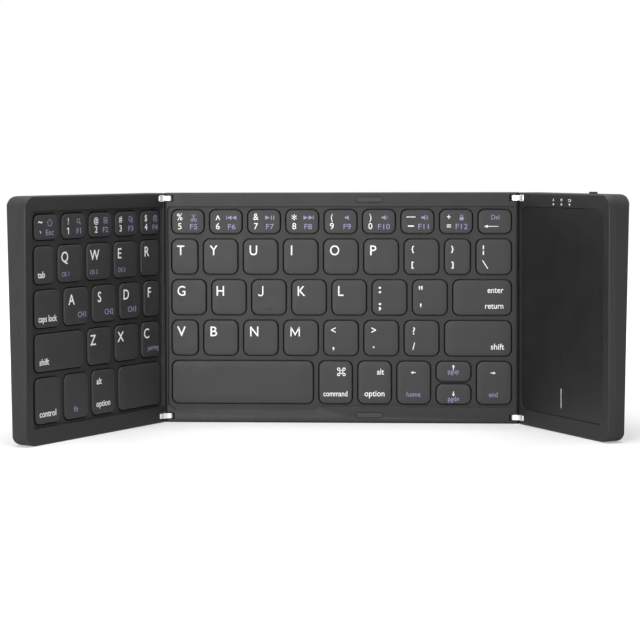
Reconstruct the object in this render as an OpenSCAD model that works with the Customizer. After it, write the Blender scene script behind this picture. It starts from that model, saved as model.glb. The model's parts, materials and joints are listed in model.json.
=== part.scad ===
// Three-part folding keyboard, standing on its front long edge with both wings swung forward.
// Row frame: +Z up the panels, +X to the right, the keys of the centre panel face -Y.
// Each panel is drawn flat, front face at y = 0 and depth along +Y, and is then put in its place.

/* [Panels] */
// Height of all three panels
panel_h = 98; // [94:0.5:104]
// Width of the centre panel, from hinge line to hinge line
centre_w = 152.2; // [148:0.2:162]
// Width of the left wing, from its hinge line to its outer end
left_w = 87; // [84:0.2:91]
// Gap that the wing ends leave between them when both are closed
closing_gap = 0.8; // [0.4:0.1:2]
// Thickness along the space bar edge
front_t = 7.8; // [7.4:0.1:8.6]
// Thickness along the number row edge
rear_t = 10.2; // [9.6:0.1:11]
// Radius of the wings' outer corners
corner_r = 6; // [4:0.5:7]
// Rounding of the front edges
front_round = 0.7; // [0.3:0.1:1.4]
// Rounding of the back edges
back_round = 1; // [0.5:0.1:2.2]

/* [Casings] */
// Depth of the front moulding
frame_d = 3.2; // [3:0.1:3.4]
// Wall of the back covers
cover_wall = 1.2; // [0.9:0.1:1.4]
// Joint line between front moulding and back cover
parting = 0.05; // [0.02:0.01:0.15]
// Bar below the keys
bottom_bar = 6.8; // [6.4:0.1:7.4]
// Bar above the keys
top_bar = 5.9; // [5.6:0.1:6.6]
// Bar along the outer end of a wing
outer_bar = 4.1; // [3.6:0.1:5]
// Rim of the key field beside a hinge
hinge_rim = 2.05; // [1.7:0.05:2.3]
// Depth of the key field below the bars
recess_d = 1.2; // [1:0.1:1.3]
// Thickness of the web between the keys
web_t = 1.2; // [0.9:0.1:1.3]

/* [Keys] */
// Width of a letter key (the widths of a row are fitted to its key field together)
key_w = 14.5; // [13.8:0.1:15]
// Width of a number key
number_key_w = 13.7; // [13.4:0.05:13.9]
// Width of the outer keys of the bottom row
bottom_key_w = 14; // [13.6:0.1:14.8]
// Width of the centre's letter keys beside the left hinge, in its top and bottom letter rows
narrow_w = 11; // [10:0.1:11.5]
// Width of the narrow key before the backslash key
bracket_w = 10.7; // [10:0.1:11.5]
// Widths of the left wing's letter keys beside its hinge, in its bottom, home and top letter rows
hinge_key_w = [11.7, 10.1, 12];
// Width of the home key next to the hinge key
short_w = 13.1; // [12.5:0.1:14.5]
// Width of the space bar
space_w = 60.2; // [52:0.1:64]
// Width of the left wing's space key
left_space_w = 26.8; // [24:0.1:30]
// Width of the right shift key
right_shift_w = 28; // [24:0.1:32]
// Width of the left shift key
left_shift_w = 28.6; // [24:0.1:32]
// Width of the enter key
enter_w = 24.5; // [20:0.1:28]
// Width of the caps lock key
caps_w = 14.5; // [12:0.1:18]
// Width of the backslash key
backslash_w = 14.7; // [12:0.1:18]
// Width of the tab key
tab_w = 11.2; // [10:0.1:14]
// Width of the backspace key
backspace_w = 13.8; // [12:0.1:18]
// Width of the escape key
escape_w = 11.9; // [10:0.1:14]
// Gap between keys of one row
key_gap = 2.6; // [2.3:0.05:2.9]
// Gap between the up and down arrows
arrow_gap = 1.2; // [0.8:0.1:2]
// Gap between two rows
row_gap = 2.6; // [2.3:0.05:2.9]
// Height of the keys of the number row
number_row_h = 10; // [9:0.1:11]
// Height of the keys of the bottom row
bottom_row_h = 18; // [17:0.1:19]
// Web between the outermost keys and the edge of the key field
side_margin = 1.8; // [1.5:0.1:2.2]
// Web above the number row and below the bottom row
end_margin = 1.4; // [1.2:0.1:1.8]
// Clearance of a key in its well
well_gap = 0.4; // [0.3:0.05:0.5]
// Corner radius of a key
key_r = 2.6; // [1.5:0.1:2.8]
// Height of a key cap
key_h = 2; // [1.8:0.1:2.1]
// Top of a key below the bars
key_drop = 0.5; // [0.4:0.05:0.7]
// Travel of a key
key_travel = 1.2; // [1:0.1:1.3]
// Chamfer round the top of a key
key_chamfer = 0.3; // [0.15:0.05:0.4]

/* [Hinges] */
// Radius of the rolling edges, which is also the depth of the pivots
edge_r = 2.35; // [2.1:0.05:2.5]
// Gap between two panels
hinge_gap = 0.3; // [0.2:0.05:0.8]
// Angle that each wing is folded forward from flat
fold = 59.2; // [0:0.1:180]
// Height of a link
link_h = 2.2; // [1.8:0.1:2.3]
// Radius of a link's ends
link_end_r = 2; // [1.45:0.05:2.1]
// Half width of a link's waist
link_waist = 1.6; // [1.1:0.05:1.9]
// Middle of the upper links below the top edge
top_link_inset = 2.3; // [1.9:0.05:2.5]
// Middle of the lower links above the bottom edge
bottom_link_inset = 2.65; // [2:0.05:3]
// Room round a link in its slot
slot_gap = 0.25; // [0.15:0.05:0.3]
// Radius of a hinge pin
pin_r = 0.75; // [0.6:0.05:0.8]
// Clearance of a pin in a link
link_fit = 0.06; // [0.02:0.01:0.1]
// Clearance of a pin in a casing
pin_fit = 0.02; // [0.01:0.01:0.05]
// Length of a pin on the key side of its link
pin_tail = 1; // [0.8:0.1:1.8]
// Length of a pin on the edge side of its link
pin_head = 0.3; // [0.2:0.05:0.35]

/* [Touchpad] */
// Room round the touchpad plate
pad_gap = 0.2; // [0.2:0.05:0.5]
// Rim between the rolling edge and the touchpad
pad_rim = 0.4; // [0.3:0.1:2]
// Corner radius of the touchpad
pad_r = 3.6; // [2:0.1:5]
// Touchpad surface below the bars
pad_drop = 0.25; // [0.2:0.05:0.5]
// Thickness of the touchpad plate
pad_t = 1; // [0.8:0.1:1.1]
// Thickness of the touch circuit behind it
pad_circuit_t = 0.6; // [0.4:0.1:0.7]
// Length of the groove between the left and right click
click_line = 8; // [5:0.5:12]

/* [Connectors and lights] */
// Place of the charging socket, from the hinge line
usb_s = 14; // [13.6:0.1:18]
// Width of the charging socket's shell
usb_w = 7.5; // [7.2:0.1:8]
// Height of the charging socket's shell
usb_t = 2.5; // [2.4:0.1:2.8]
// Depth of the socket and the switch below the front face
port_d = 5.4; // [5.2:0.1:5.6]
// Place of the switch knob, from the wing's outer end
switch_inset = 18; // [16:0.1:19]
// Length of the switch knob
knob_l = 3.4; // [3:0.1:4.6]
// Thickness of the switch knob
knob_t = 1.8; // [1.4:0.1:2]
// Height of the knob above the edge
knob_rise = 0.8; // [0.4:0.1:1.2]
// Travel of the switch
switch_travel = 4; // [2:0.1:4.4]
// Place of the middle indicator light, outwards from the touchpad's middle
light_shift = 0.4; // [-4:0.1:4]
// Spacing of the three indicator lights
light_pitch = 5.6; // [4.5:0.1:6.5]
// Radius of an indicator lens
light_r = 0.45; // [0.4:0.05:0.8]
// Height of the lights below the top edge
light_inset = 4.5; // [3.8:0.1:4.6]

/* [Pads, feet and scoop] */
// Middle of the bumper pads, from the panel's middle
bumper_x = 12.1; // [8:0.1:16]
// Length of a bumper pad
bumper_l = 11.2; // [8:0.1:13]
// Height of a bumper pad
bumper_h = 2; // [1.6:0.1:2.6]
// Depth of a bumper pad's seat
bumper_seat = 0.5; // [0.3:0.05:0.6]
// Gap between a bumper pad and a closed wing
bumper_gap = 0.1; // [0.05:0.05:0.3]
// Length of a rubber foot
foot_l = 14; // [10:0.5:15]
// Width of a rubber foot
foot_w = 4.2; // [3.8:0.1:4.6]
// Depth of a foot's seat
foot_seat = 0.5; // [0.3:0.05:0.6]
// How far a foot stands proud
foot_rise = 0.6; // [0.3:0.05:1]
// Height of the thumb scoop's lower edge
scoop_z = 3.7; // [3.2:0.1:4.4]
// Length of the slope along the scoop's lower edge
scoop_slope = 1.7; // [1.2:0.1:2.2]
// Scoop's ends inside the ends of the space bar, at the key field
scoop_inset = 3.2; // [2:0.1:6]
// Lean of the scoop's ends
scoop_lean = 4; // [2:0.1:6]

/* [Inside] */
// Gap between neighbours that lie against each other
seat_gap = 0.05; // [0.02:0.01:0.1]
// Thickness of the steel support plates
plate_t = 0.4; // [0.3:0.05:0.5]
// Thickness of the dome sheets
sheet_t = 0.3; // [0.2:0.05:0.4]
// Height of a rubber dome
dome_h = 1; // [0.8:0.05:1.1]
// Thickness of a key cap's top
cap_top = 0.9; // [0.7:0.05:1]
// Side wall of a key cap
cap_wall = 1.1; // [0.8:0.1:1.4]
// Thickness of the ribs in the back covers
rib_t = 1; // [0.8:0.1:1.4]
// Radius of a screw's shank
screw_r = 0.7; // [0.6:0.05:0.8]
// Radius of a screw's head
head_r = 1.3; // [1.1:0.05:1.5]
// Length of a screw below its head
screw_l = 4; // [3.6:0.1:4.2]
// Screws' distance from a hinge line
screw_inset = 7; // [6.6:0.1:7.2]
// Screws' distance from a wing's outer end
outer_screw_inset = 11.5; // [11:0.1:12]
// Thickness of the magnets
magnet_t = 1.7; // [1.4:0.1:1.8]
// Thickness of the battery
battery_t = 3; // [2.4:0.1:3.1]
// Battery's sides inside the touchpad's
battery_side = 5.7; // [3.5:0.1:9]
// Battery's lower edge above the touchpad's
battery_foot = 4; // [3:0.1:10]
// Gap between the battery and the main board
battery_gap = 6.2; // [1:0.1:12]
// Thickness of the main circuit board
board_t = 0.8; // [0.6:0.1:1]
// Height of the main circuit board
board_h = 22.4; // [18:0.1:26]
// Width of the flexible ribbons
ribbon_w = 8; // [6:0.5:10]

/* [Hidden] */
arc_steps = 6; // flats on a small quarter round, and twice as many on one of wide_r or more
wide_r = 3.2;
past = 1; // cutters reach this far past what they cut
lap = 0.1; // joined pieces of one solid run this far into each other
play = 0.1; // clearance round a piece that sits in a recess
skin = 0.01; // gap between sheets that lie face to face
least_r = 0.3; // least radius of an inner corner
hinge_end_r = 0.8; // outline corners beside a hinge, and a cover's back edge there
field_r = 1.2; // corners of the key field
field_step = 0.8; // the room behind the web, inside the key field
plate_inset = 0.8; // plates and sheets, inside the key field's lower and upper edge
plate_side = 2.4; // plates and sheets, from a panel's hinge edge
plate_r = 1;
boss_r = head_r + 0.8;
head_t = 0.8;
cross_l = 1.6; // cross recess of a screw
cross_w = 0.35;
cross_d = 0.4;
pilot_fit = 0.03;
tip_room = 0.3; // room below a screw's tip
end_flat = 0.05; // half the flat left at a pad's round ends
foot_shift = 3; // from a screw to the middle of the foot that covers it
dome_base_r = 2.4;
dome_top_r = 1.5;
ribbon_t = 0.2;
ribbon_room = 0.4; // on each side of a ribbon in its slot
ribbon_end = 0.2; // from a ribbon's end to the hinge edge
ribbon_l = [14, 6]; // of the left and right ribbon
homing_l = 3.2; // homing bar
homing_h = 0.5;
homing_rise = 0.2;
homing_z = 2.4;
front_y = -front_t / 2; // the origin lies in the middle of the standing edge
half_w = centre_w / 2;
right_w = centre_w - left_w - closing_gap;
pivot_s = edge_r + hinge_gap / 2; // a pivot's distance from its hinge line
link_span = 2 * pivot_s;
bumper_rise = hinge_gap - bumper_gap; // closed wings lie a hinge gap in front of the centre
wedge = atan((rear_t - front_t) / panel_h);
field_z0 = bottom_bar;
field_z1 = panel_h - top_bar;
screw_z = [bottom_bar / 2, panel_h - top_bar / 2];
link_z = [bottom_link_inset, panel_h - top_link_inset];

// Rows of keys from the bottom up. A row lists its key widths from left to right on the centre
// and from the hinge outwards on the left wing, and they are fitted together to the key field.
bottom_row = 0;
shift_row = 1;
home_row = 2;
top_row = 3;
number_row = 4;
letter_row_h = (field_z1 - field_z0 - 2 * end_margin - bottom_row_h - number_row_h - 4 * row_gap) / 3;
row_h = [bottom_row_h, letter_row_h, letter_row_h, letter_row_h, number_row_h];
half_key_h = (bottom_row_h - arrow_gap) / 2;
centre_field = centre_w - 2 * (hinge_gap / 2 + hinge_rim + side_margin);
left_field = left_w - hinge_gap / 2 - hinge_rim - outer_bar - 2 * side_margin;
centre_x0 = -centre_field / 2;
left_s0 = hinge_gap / 2 + hinge_rim + side_margin;
function same(w, n) = [for (i = [1:n]) w];
centre_rows = [
    concat([space_w], same(bottom_key_w, 3), same(key_w, 2)),
    concat([narrow_w], same(key_w, 6), [right_shift_w]),
    concat(same(key_w, 7), [enter_w]),
    concat([narrow_w], same(key_w, 6), [bracket_w, backslash_w]),
    concat(same(number_key_w, 8), [backspace_w])
];
left_rows = [
    [left_space_w, bottom_key_w, bottom_key_w, key_w],
    [hinge_key_w[0], key_w, key_w, left_shift_w],
    [hinge_key_w[1], short_w, key_w, key_w, caps_w],
    [hinge_key_w[2], key_w, key_w, key_w, tab_w],
    concat([escape_w], same(number_key_w, 4))
];
function total(v, n) = n > 0 ? v[n - 1] + total(v, n - 1) : 0;
function row_z(r) = field_z0 + end_margin + total(row_h, r) + r * row_gap;
function key_width(row, field, i) =
    row[i] * (field - key_gap * (len(row) - 1)) / total(row, len(row));
function key_start(row, field, i) =
    i > 0 ? key_start(row, field, i - 1) + key_width(row, field, i - 1) + key_gap : 0;

// A key is [left x, bottom z, width, height] in the flat drawing.
function centre_key(r, i) =
    [centre_x0 + key_start(centre_rows[r], centre_field, i), row_z(r),
     key_width(centre_rows[r], centre_field, i), row_h[r]];
function left_key(r, i) =
    let (w = key_width(left_rows[r], left_field, i))
    [-half_w - left_s0 - key_start(left_rows[r], left_field, i) - w, row_z(r), w, row_h[r]];
function lower_half(k) = [k[0], k[1], k[2], half_key_h];
function upper_half(k) = [k[0], k[1] + k[3] - half_key_h, k[2], half_key_h];
arrow_i = 4; // place of the up and down arrows in the bottom row
function centre_span(r, first, last) = [for (i = [first:last]) centre_key(r, i)];
function left_span(r, first, last) = [for (i = [first:last]) left_key(r, i)];
function last_centre_key(r) = centre_key(r, len(centre_rows[r]) - 1);
function last_left_key(r) = left_key(r, len(left_rows[r]) - 1);
function centre_but_last(r) = centre_span(r, 0, len(centre_rows[r]) - 2);
function left_but_last(r) = left_span(r, 0, len(left_rows[r]) - 2);
arrows = centre_key(bottom_row, arrow_i);
all_centre_keys = concat(
    centre_span(bottom_row, 0, arrow_i - 1),
    [lower_half(arrows), upper_half(arrows), centre_key(bottom_row, arrow_i + 1)],
    [for (r = [shift_row:number_row]) each centre_span(r, 0, len(centre_rows[r]) - 1)]
);
all_left_keys = [for (r = [bottom_row:number_row]) each left_span(r, 0, len(left_rows[r]) - 1)];

pad_room = 0.55; // behind the touch circuit, for the click
boss_web = 2.2; // depth of a boss in front of the screw's head

// Depths, from the front face
cap_back = key_drop + key_h;
web_back = recess_d + web_t;
sheet_d = cap_back + key_travel + 2 * seat_gap;
plate_d = sheet_d + sheet_t;
plate_back = plate_d + plate_t;
cover_d = frame_d + parting;
pad_circuit_d = pad_drop + pad_t;
pad_support_d = pad_circuit_d + pad_circuit_t + pad_room;
pad_support_back = pad_support_d + plate_t;
head_d = frame_d + boss_web; // the seat of a screw's head
magnet_d = frame_d - magnet_t - seat_gap;
board_d = port_d - board_t / 2;

// The touchpad's opening, from the right hinge line
pad_s0 = hinge_gap / 2 + edge_r + pad_rim;
pad_s1 = right_w - outer_bar;
pad_mid = (pad_s0 + pad_s1) / 2;
board_gap = 0.7; // between the main board and a screw boss
board_inset = 4.6; // the board's upper edge below the panel's
board_s = [screw_inset + boss_r + board_gap, right_w - outer_screw_inset - boss_r - board_gap];
board_z = [panel_h - board_inset - board_h, panel_h - board_inset];
magnet_l = 3.6;
magnet_h = 2.6;
magnet_inset = 5.6; // from a wing's outer end to the magnets' middle

// ---- outlines ----

function corner(x, y, r, turn) =
    let (n = r < wide_r ? arc_steps : 2 * arc_steps)
    r > 0 ? [for (i = [0:n]) let (a = turn + 90 * i / n) [x + r * cos(a), y + r * sin(a)]] : [[x, y]];

// Rectangle with its own radius at each corner, from the lower left one round to the upper left one
function rounded(x0, y0, x1, y1, r) = concat(
    corner(x0 + r[0], y0 + r[0], r[0], 180),
    corner(x1 - r[1], y0 + r[1], r[1], 270),
    corner(x1 - r[2], y1 - r[2], r[2], 0),
    corner(x0 + r[3], y1 - r[3], r[3], 90)
);

// Outline in X and Z, carried through the panel from depth d0 to d1
module through(points, d0, d1) {
    translate([0, d1, 0]) rotate([90, 0, 0]) linear_extrude(d1 - d0) polygon(points);
}

// Section in Y and Z, carried along X
module along_x(points, x0, x1) {
    translate([x0, 0, 0]) rotate([90, 0, 90]) linear_extrude(x1 - x0) polygon(points);
}

module box(x0, x1, d0, d1, z0, z1) {
    translate([x0, d0, z0]) cube([x1 - x0, d1 - d0, z1 - z0]);
}

module drill(x, z, r, d0, d1) {
    translate([x, d1, z]) rotate([90, 0, 0]) cylinder(r = r, h = d1 - d0, $fn = 48);
}

// ---- places ----

module on_centre() {
    translate([0, front_y, 0]) children();
}

// side is -1 for the left wing and 1 for the right: half the fold at each end of the links
module on_links(side) {
    translate([side * (half_w - pivot_s), front_y + edge_r, 0])
        rotate([0, 0, -side * fold / 2]) children();
}

module on_wing(side) {
    on_links(side) translate([side * link_span, 0, 0])
        rotate([0, 0, -side * fold / 2]) translate([-side * (half_w + pivot_s), -edge_r, 0]) children();
}

// The back faces lean by the wedge angle: here y = 0 is the back face
module on_back() {
    translate([0, front_t, 0]) rotate([-wedge, 0, 0]) children();
}

// ---- casings ----

// Front moulding before its cuts: outline, plan section and side section meet in one solid.
// ends gives the front rounding at its two ends, corners the outline's radii.
module frame_blank(x0, x1, ends, corners) {
    intersection() {
        through(rounded(x0, 0, x1, panel_h, corners), 0, frame_d);
        translate([0, 0, -past]) linear_extrude(panel_h + 2 * past)
            polygon(rounded(x0, 0, x1, frame_d, [ends[0], ends[1], 0, 0]));
        along_x(rounded(0, 0, frame_d, panel_h, [front_round, 0, 0, front_round]), x0, x1);
    }
}

// Side section of a panel: level at the standing edge and the top edge, with the leaning back
// face rounded into both
function back_arc(zc, from, to) =
    let (yc = front_t + zc * tan(wedge) - back_round / cos(wedge))
    [for (i = [0:arc_steps]) let (a = from + (to - from) * i / arc_steps)
        [yc + back_round * cos(a), zc + back_round * sin(a)]];
panel_side = concat([[0, 0]], back_arc(back_round, -90, -wedge),
    back_arc(panel_h - back_round, -wedge, 90), [[0, panel_h]]);

// Tapered back cover before its cuts
module cover_blank(x0, x1, corners, edges) {
    deep = rear_t + past;
    intersection() {
        through(rounded(x0, 0, x1, panel_h, corners), cover_d, deep + past);
        along_x(panel_side, x0, x1);
        on_back() translate([0, 0, -past]) linear_extrude(panel_h + 3 * past)
            polygon(rounded(x0, -deep, x1, 0, [0, 0, edges[1], edges[0]]));
    }
}

// Room inside a cover
module cover_room(x0, x1, corners) {
    w = cover_wall;
    intersection() {
        through(rounded(x0 + w, w, x1 - w, panel_h - w, [for (r = corners) max(r - w, least_r)]),
                frame_d - past, rear_t);
        on_back() box(x0, x1, -rear_t - 2 * past, -w, -past, panel_h + past);
    }
}

module foot_outline(x, z, grow, d0, d1) {
    l = foot_l / 2 + grow;
    h = foot_w / 2 + grow;
    on_back() through(rounded(x - l, z - h, x + l, z + h, same(h - end_flat, 4)), d0, d1);
}

// Screw bosses stand inside a cover, and their counterbores open under the feet
module bosses(xs) {
    for (x = xs, z = screw_z) drill(x, z, boss_r, cover_d, rear_t);
}

module cover_holes(xs, foot_xs) {
    for (i = [0:1], z = screw_z) {
        drill(xs[i], z, screw_r + play, 0, rear_t);
        drill(xs[i], z, head_r + play, head_d, rear_t + past);
        foot_outline(foot_xs[i], z, play, -foot_seat, past);
    }
}

// Room for a link at a pivot, open to the front and to the hinge: side points to the hinge
module link_slot(x, side) {
    r = link_end_r + slot_gap;
    reach = edge_r + past;
    for (z = link_z) translate([x, edge_r, z - link_h / 2 - slot_gap]) {
        cylinder(r = r, h = link_h + 2 * slot_gap, $fn = 64);
        translate([side > 0 ? 0 : -reach, -reach, 0]) cube([reach, reach + r, link_h + 2 * slot_gap]);
        translate([side > 0 ? -r : 0, -reach, 0]) cube([r, reach, link_h + 2 * slot_gap]);
    }
}

// The lower pins point down and the upper ones up, with their long ends towards the keys
module pins_at(x, r, more) {
    for (i = [0:1]) {
        up = i == 0 ? 1 : -1;
        from = link_z[i] - up * (link_h / 2 + slot_gap + pin_head);
        to = link_z[i] + up * (link_h / 2 + slot_gap + pin_tail);
        translate([x, edge_r, min(from, to) - more]) cylinder(r = r, h = abs(to - from) + 2 * more, $fn = 48);
    }
}

// Wells, each a key's outline grown by its clearance
module wells(keys) {
    g = well_gap;
    for (k = keys)
        through(rounded(k[0] - g, k[1] - g, k[0] + k[2] + g, k[1] + k[3] + g, same(key_r + g, 4)),
                0, frame_d + past);
}

module key_field(x0, x1) {
    through(rounded(x0, field_z0, x1, field_z1, same(field_r, 4)), -past, recess_d);
    box(x0 + field_step, x1 - field_step, web_back, frame_d + past,
        field_z0 + field_step, field_z1 - field_step);
}

module screw_pilots(xs) {
    for (x = xs, z = screw_z)
        drill(x, z, screw_r + pilot_fit, head_d - screw_l - tip_room, frame_d + past);
}

module magnet_seat(x, l) {
    for (z = screw_z)
        box(x - l / 2 - play, x + l / 2 + play, magnet_d - seat_gap, frame_d + past,
            z - magnet_h / 2 - play, z + magnet_h / 2 + play);
}

module magnets(x, l) {
    for (z = screw_z)
        box(x - l / 2, x + l / 2, magnet_d, magnet_d + magnet_t, z - magnet_h / 2, z + magnet_h / 2);
}

module screws(xs) {
    for (x = xs, z = screw_z) {
        drill(x, z, screw_r, head_d - screw_l, head_d + lap);
        difference() {
            drill(x, z, head_r, head_d, head_d + head_t);
            for (turn = [0, 90]) translate([x, head_d + head_t, z]) rotate([0, turn, 0])
                cube([cross_l, 2 * cross_d, cross_w], center = true);
        }
    }
}

module feet(xs) {
    for (x = xs, z = screw_z) foot_outline(x, z, 0, seat_gap - foot_seat, foot_rise);
}

// Ribs that carry a support plate, with the slot of the flexible ribbon left out
module ribs(xs) {
    for (x = xs) box(x - rib_t / 2, x + rib_t / 2, plate_back + seat_gap, rear_t, field_z0 + 2, field_z1 - 2);
}

module ribbon_slot(x, side) {
    z = panel_h / 2;
    near = x - side * past;
    far = x + side * (cover_wall + past);
    box(min(near, far), max(near, far), plate_back, plate_back + 3 * ribbon_t,
        z - ribbon_w / 2 - ribbon_room, z + ribbon_w / 2 + ribbon_room);
}

// ---- centre panel ----

centre_edge = half_w - hinge_gap / 2;
centre_pivot = half_w - pivot_s;
centre_screws_x = [-half_w + screw_inset, half_w - screw_inset];
centre_feet_x = [for (x = centre_screws_x) x - sign(x) * foot_shift];
space = centre_key(bottom_row, 0);

// Thumb scoop under the space bar: level with the key field, with a slope up to the bar's face
module scoop() {
    top = field_z0 + end_margin / 3;
    low = scoop_z - past;
    x0 = space[0] + scoop_inset;
    x1 = space[0] + space[2] + scoop_inset;
    rake = scoop_lean / (field_z0 - scoop_z); // sideways for each millimetre up
    intersection() {
        along_x([[-past, scoop_z - past * scoop_slope / recess_d], [recess_d, scoop_z + scoop_slope],
                 [recess_d, top], [-past, top]], x0 - 2 * scoop_lean, x1 + scoop_lean);
        through([[x0 - rake * (low - scoop_z), low], [x1 - rake * (top - low), low], [x1, top],
                 [x0 - rake * (top - scoop_z), top]], -past, recess_d + past);
    }
}

module bumper_outline(grow, d0, d1) {
    l = bumper_l / 2 + grow;
    h = bumper_h / 2 + grow;
    for (z = screw_z)
        through(rounded(bumper_x - l, z - h, bumper_x + l, z + h, same(h - end_flat, 4)), d0, d1);
}

module centre_frame() {
    color([0.29, 0.29, 0.30]) on_centre() difference() {
        frame_blank(-centre_edge, centre_edge, [edge_r, edge_r], same(hinge_end_r, 4));
        key_field(-centre_edge + hinge_rim, centre_edge - hinge_rim);
        wells(all_centre_keys);
        scoop();
        bumper_outline(play, -past, bumper_seat);
        magnet_seat(bumper_x, bumper_l);
        screw_pilots(centre_screws_x);
        for (side = [-1, 1]) {
            link_slot(side * centre_pivot, side);
            pins_at(side * centre_pivot, pin_r + pin_fit, seat_gap);
        }
    }
}

module centre_back_cover() {
    color([0.26, 0.26, 0.27]) on_centre() difference() {
        cover_blank(-centre_edge, centre_edge, same(hinge_end_r, 4), [hinge_end_r, hinge_end_r]);
        difference() {
            cover_room(-centre_edge, centre_edge, same(hinge_end_r, 4));
            bosses(centre_screws_x);
            ribs([for (i = [-2:2]) i * centre_w / 6]);
        }
        cover_holes(centre_screws_x, centre_feet_x);
        link_slot(-centre_pivot, -1);
        link_slot(centre_pivot, 1);
        ribbon_slot(-centre_edge, 1);
        ribbon_slot(centre_edge, -1);
    }
}

// Steel plate behind the keys, and the silicone sheet with one dome for each key
module support_plate(x0, x1) {
    through(rounded(x0, field_z0 + plate_inset, x1, field_z1 - plate_inset, same(plate_r, 4)),
            plate_d, plate_back);
}

module dome_sheet(x0, x1, keys) {
    box(x0, x1, sheet_d, plate_d - skin, field_z0 + plate_inset, field_z1 - plate_inset);
    for (k = keys) translate([k[0] + k[2] / 2, sheet_d, k[1] + k[3] / 2]) rotate([90, 0, 0])
        cylinder(r1 = dome_base_r, r2 = dome_top_r, h = dome_h, $fn = 32);
}

module centre_support_plate() {
    color([0.70, 0.71, 0.72]) on_centre()
        support_plate(-centre_edge + plate_side, centre_edge - plate_side);
}

module centre_dome_sheet() {
    color([0.85, 0.85, 0.82]) on_centre()
        dome_sheet(-centre_edge + plate_side, centre_edge - plate_side, all_centre_keys);
}

module centre_bumper_pads() {
    color([0.20, 0.20, 0.21]) on_centre() bumper_outline(0, -bumper_rise, bumper_seat - seat_gap);
}

module centre_magnets() {
    color("silver") on_centre() magnets(bumper_x, bumper_l);
}

module centre_feet() {
    color([0.12, 0.12, 0.12]) on_centre() feet(centre_feet_x);
}

module centre_screws() {
    color("silver") on_centre() screws(centre_screws_x);
}

module centre_hinge_pins() {
    color("silver") on_centre() for (side = [-1, 1]) pins_at(side * centre_pivot, pin_r, 0);
}

// ---- hinge links ----

// Dog-bone link between the centre's pin and the wing's pin, one at the top and one at the bottom
module hinge_links(side) {
    on_links(side) for (z = link_z) translate([0, 0, z - link_h / 2]) difference() {
        union() {
            for (x = [0, link_span]) translate([side * x, 0, 0])
                cylinder(r = link_end_r, h = link_h, $fn = 64);
            translate([min(0, side * link_span), -link_waist, 0]) cube([link_span, 2 * link_waist, link_h]);
        }
        for (x = [0, link_span]) translate([side * x, 0, -past])
            cylinder(r = pin_r + link_fit, h = link_h + 2 * past, $fn = 48);
    }
}

module left_hinge_links() {
    color([0.85, 0.85, 0.86]) hinge_links(-1);
}

module right_hinge_links() {
    color([0.85, 0.85, 0.86]) hinge_links(1);
}

// ---- left wing ----

left_edge = -half_w - hinge_gap / 2;
left_end = -half_w - left_w;
left_pivot = -half_w - pivot_s;
left_corners = [corner_r, hinge_end_r, hinge_end_r, corner_r];
left_screws_x = [left_end + outer_screw_inset, -half_w - screw_inset];
left_feet_x = [left_screws_x[0] + foot_shift, left_screws_x[1] - foot_shift];

module left_frame() {
    color([0.22, 0.22, 0.23]) on_wing(-1) difference() {
        frame_blank(left_end, left_edge, [front_round, edge_r], left_corners);
        key_field(left_end + outer_bar, left_edge - hinge_rim);
        wells(all_left_keys);
        magnet_seat(left_end + magnet_inset, magnet_l);
        screw_pilots(left_screws_x);
        link_slot(left_pivot, 1);
        pins_at(left_pivot, pin_r + pin_fit, seat_gap);
    }
}

module left_back_cover() {
    color([0.20, 0.20, 0.21]) on_wing(-1) difference() {
        cover_blank(left_end, left_edge, left_corners, [back_round, hinge_end_r]);
        difference() {
            cover_room(left_end, left_edge, left_corners);
            bosses(left_screws_x);
            ribs([for (i = [1:3]) left_edge - i * left_w / 4]);
        }
        cover_holes(left_screws_x, left_feet_x);
        link_slot(left_pivot, 1);
        ribbon_slot(left_edge, -1);
    }
}

module left_support_plate() {
    color([0.70, 0.71, 0.72]) on_wing(-1) support_plate(left_end + outer_bar, left_edge - plate_side);
}

module left_dome_sheet() {
    color([0.85, 0.85, 0.82]) on_wing(-1)
        dome_sheet(left_end + outer_bar, left_edge - plate_side, all_left_keys);
}

module left_magnets() {
    color("silver") on_wing(-1) magnets(left_end + magnet_inset, magnet_l);
}

module left_feet() {
    color([0.12, 0.12, 0.12]) on_wing(-1) feet(left_feet_x);
}

module left_screws() {
    color("silver") on_wing(-1) screws(left_screws_x);
}

module left_hinge_pins() {
    color("silver") on_wing(-1) pins_at(left_pivot, pin_r, 0);
}

// Flexible ribbon from a panel's circuit to the slot in its hinge edge
module flex_ribbon(x0, x1) {
    z = panel_h / 2;
    box(x0, x1, plate_back + ribbon_t, plate_back + 2 * ribbon_t, z - ribbon_w / 2, z + ribbon_w / 2);
}

module left_flex_ribbon() {
    color([0.85, 0.55, 0.20]) on_wing(-1) flex_ribbon(left_edge - ribbon_l[0], left_edge - ribbon_end);
}

// ---- right wing ----

right_edge = half_w + hinge_gap / 2;
right_end = half_w + right_w;
right_pivot = half_w + pivot_s;
right_corners = [hinge_end_r, corner_r, corner_r, hinge_end_r];
right_screws_x = [half_w + screw_inset, right_end - outer_screw_inset];
right_feet_x = [right_screws_x[0] + foot_shift, right_screws_x[1] - foot_shift];
knob_gap = 0.25; // round the knob in its slot
knob_flange = 0.5; // keeps the knob from coming out
knob_groove = 0.4;
knob_groove_d = 0.3;
switch_h = 3.6; // fixed part of the switch
switch_t = 2.6;
window_gap = 0.3; // round the socket, and above the switch
usb_wall = 0.3;
usb_deep = 5;
usb_floor = 1;
usb_lip = 0.4; // length of the shell inside the top wall
usb_r = 0.9; // of the two wide corners
usb_tongue = 0.6;
pad_step = 1; // ledge round the back of the touchpad's opening
pad_step_r = 1.5;
pad_circuit_inset = 2;
click_line_w = 0.3;
click_line_d = 0.2;
click_line_z = 3.5; // above the lower edge of the opening
pouch_r = 1.5;
post_inset = 2.5; // board posts
post_r = 1.6;
chip_t = 1;
chip_z = 6; // above the board's lower edge
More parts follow.
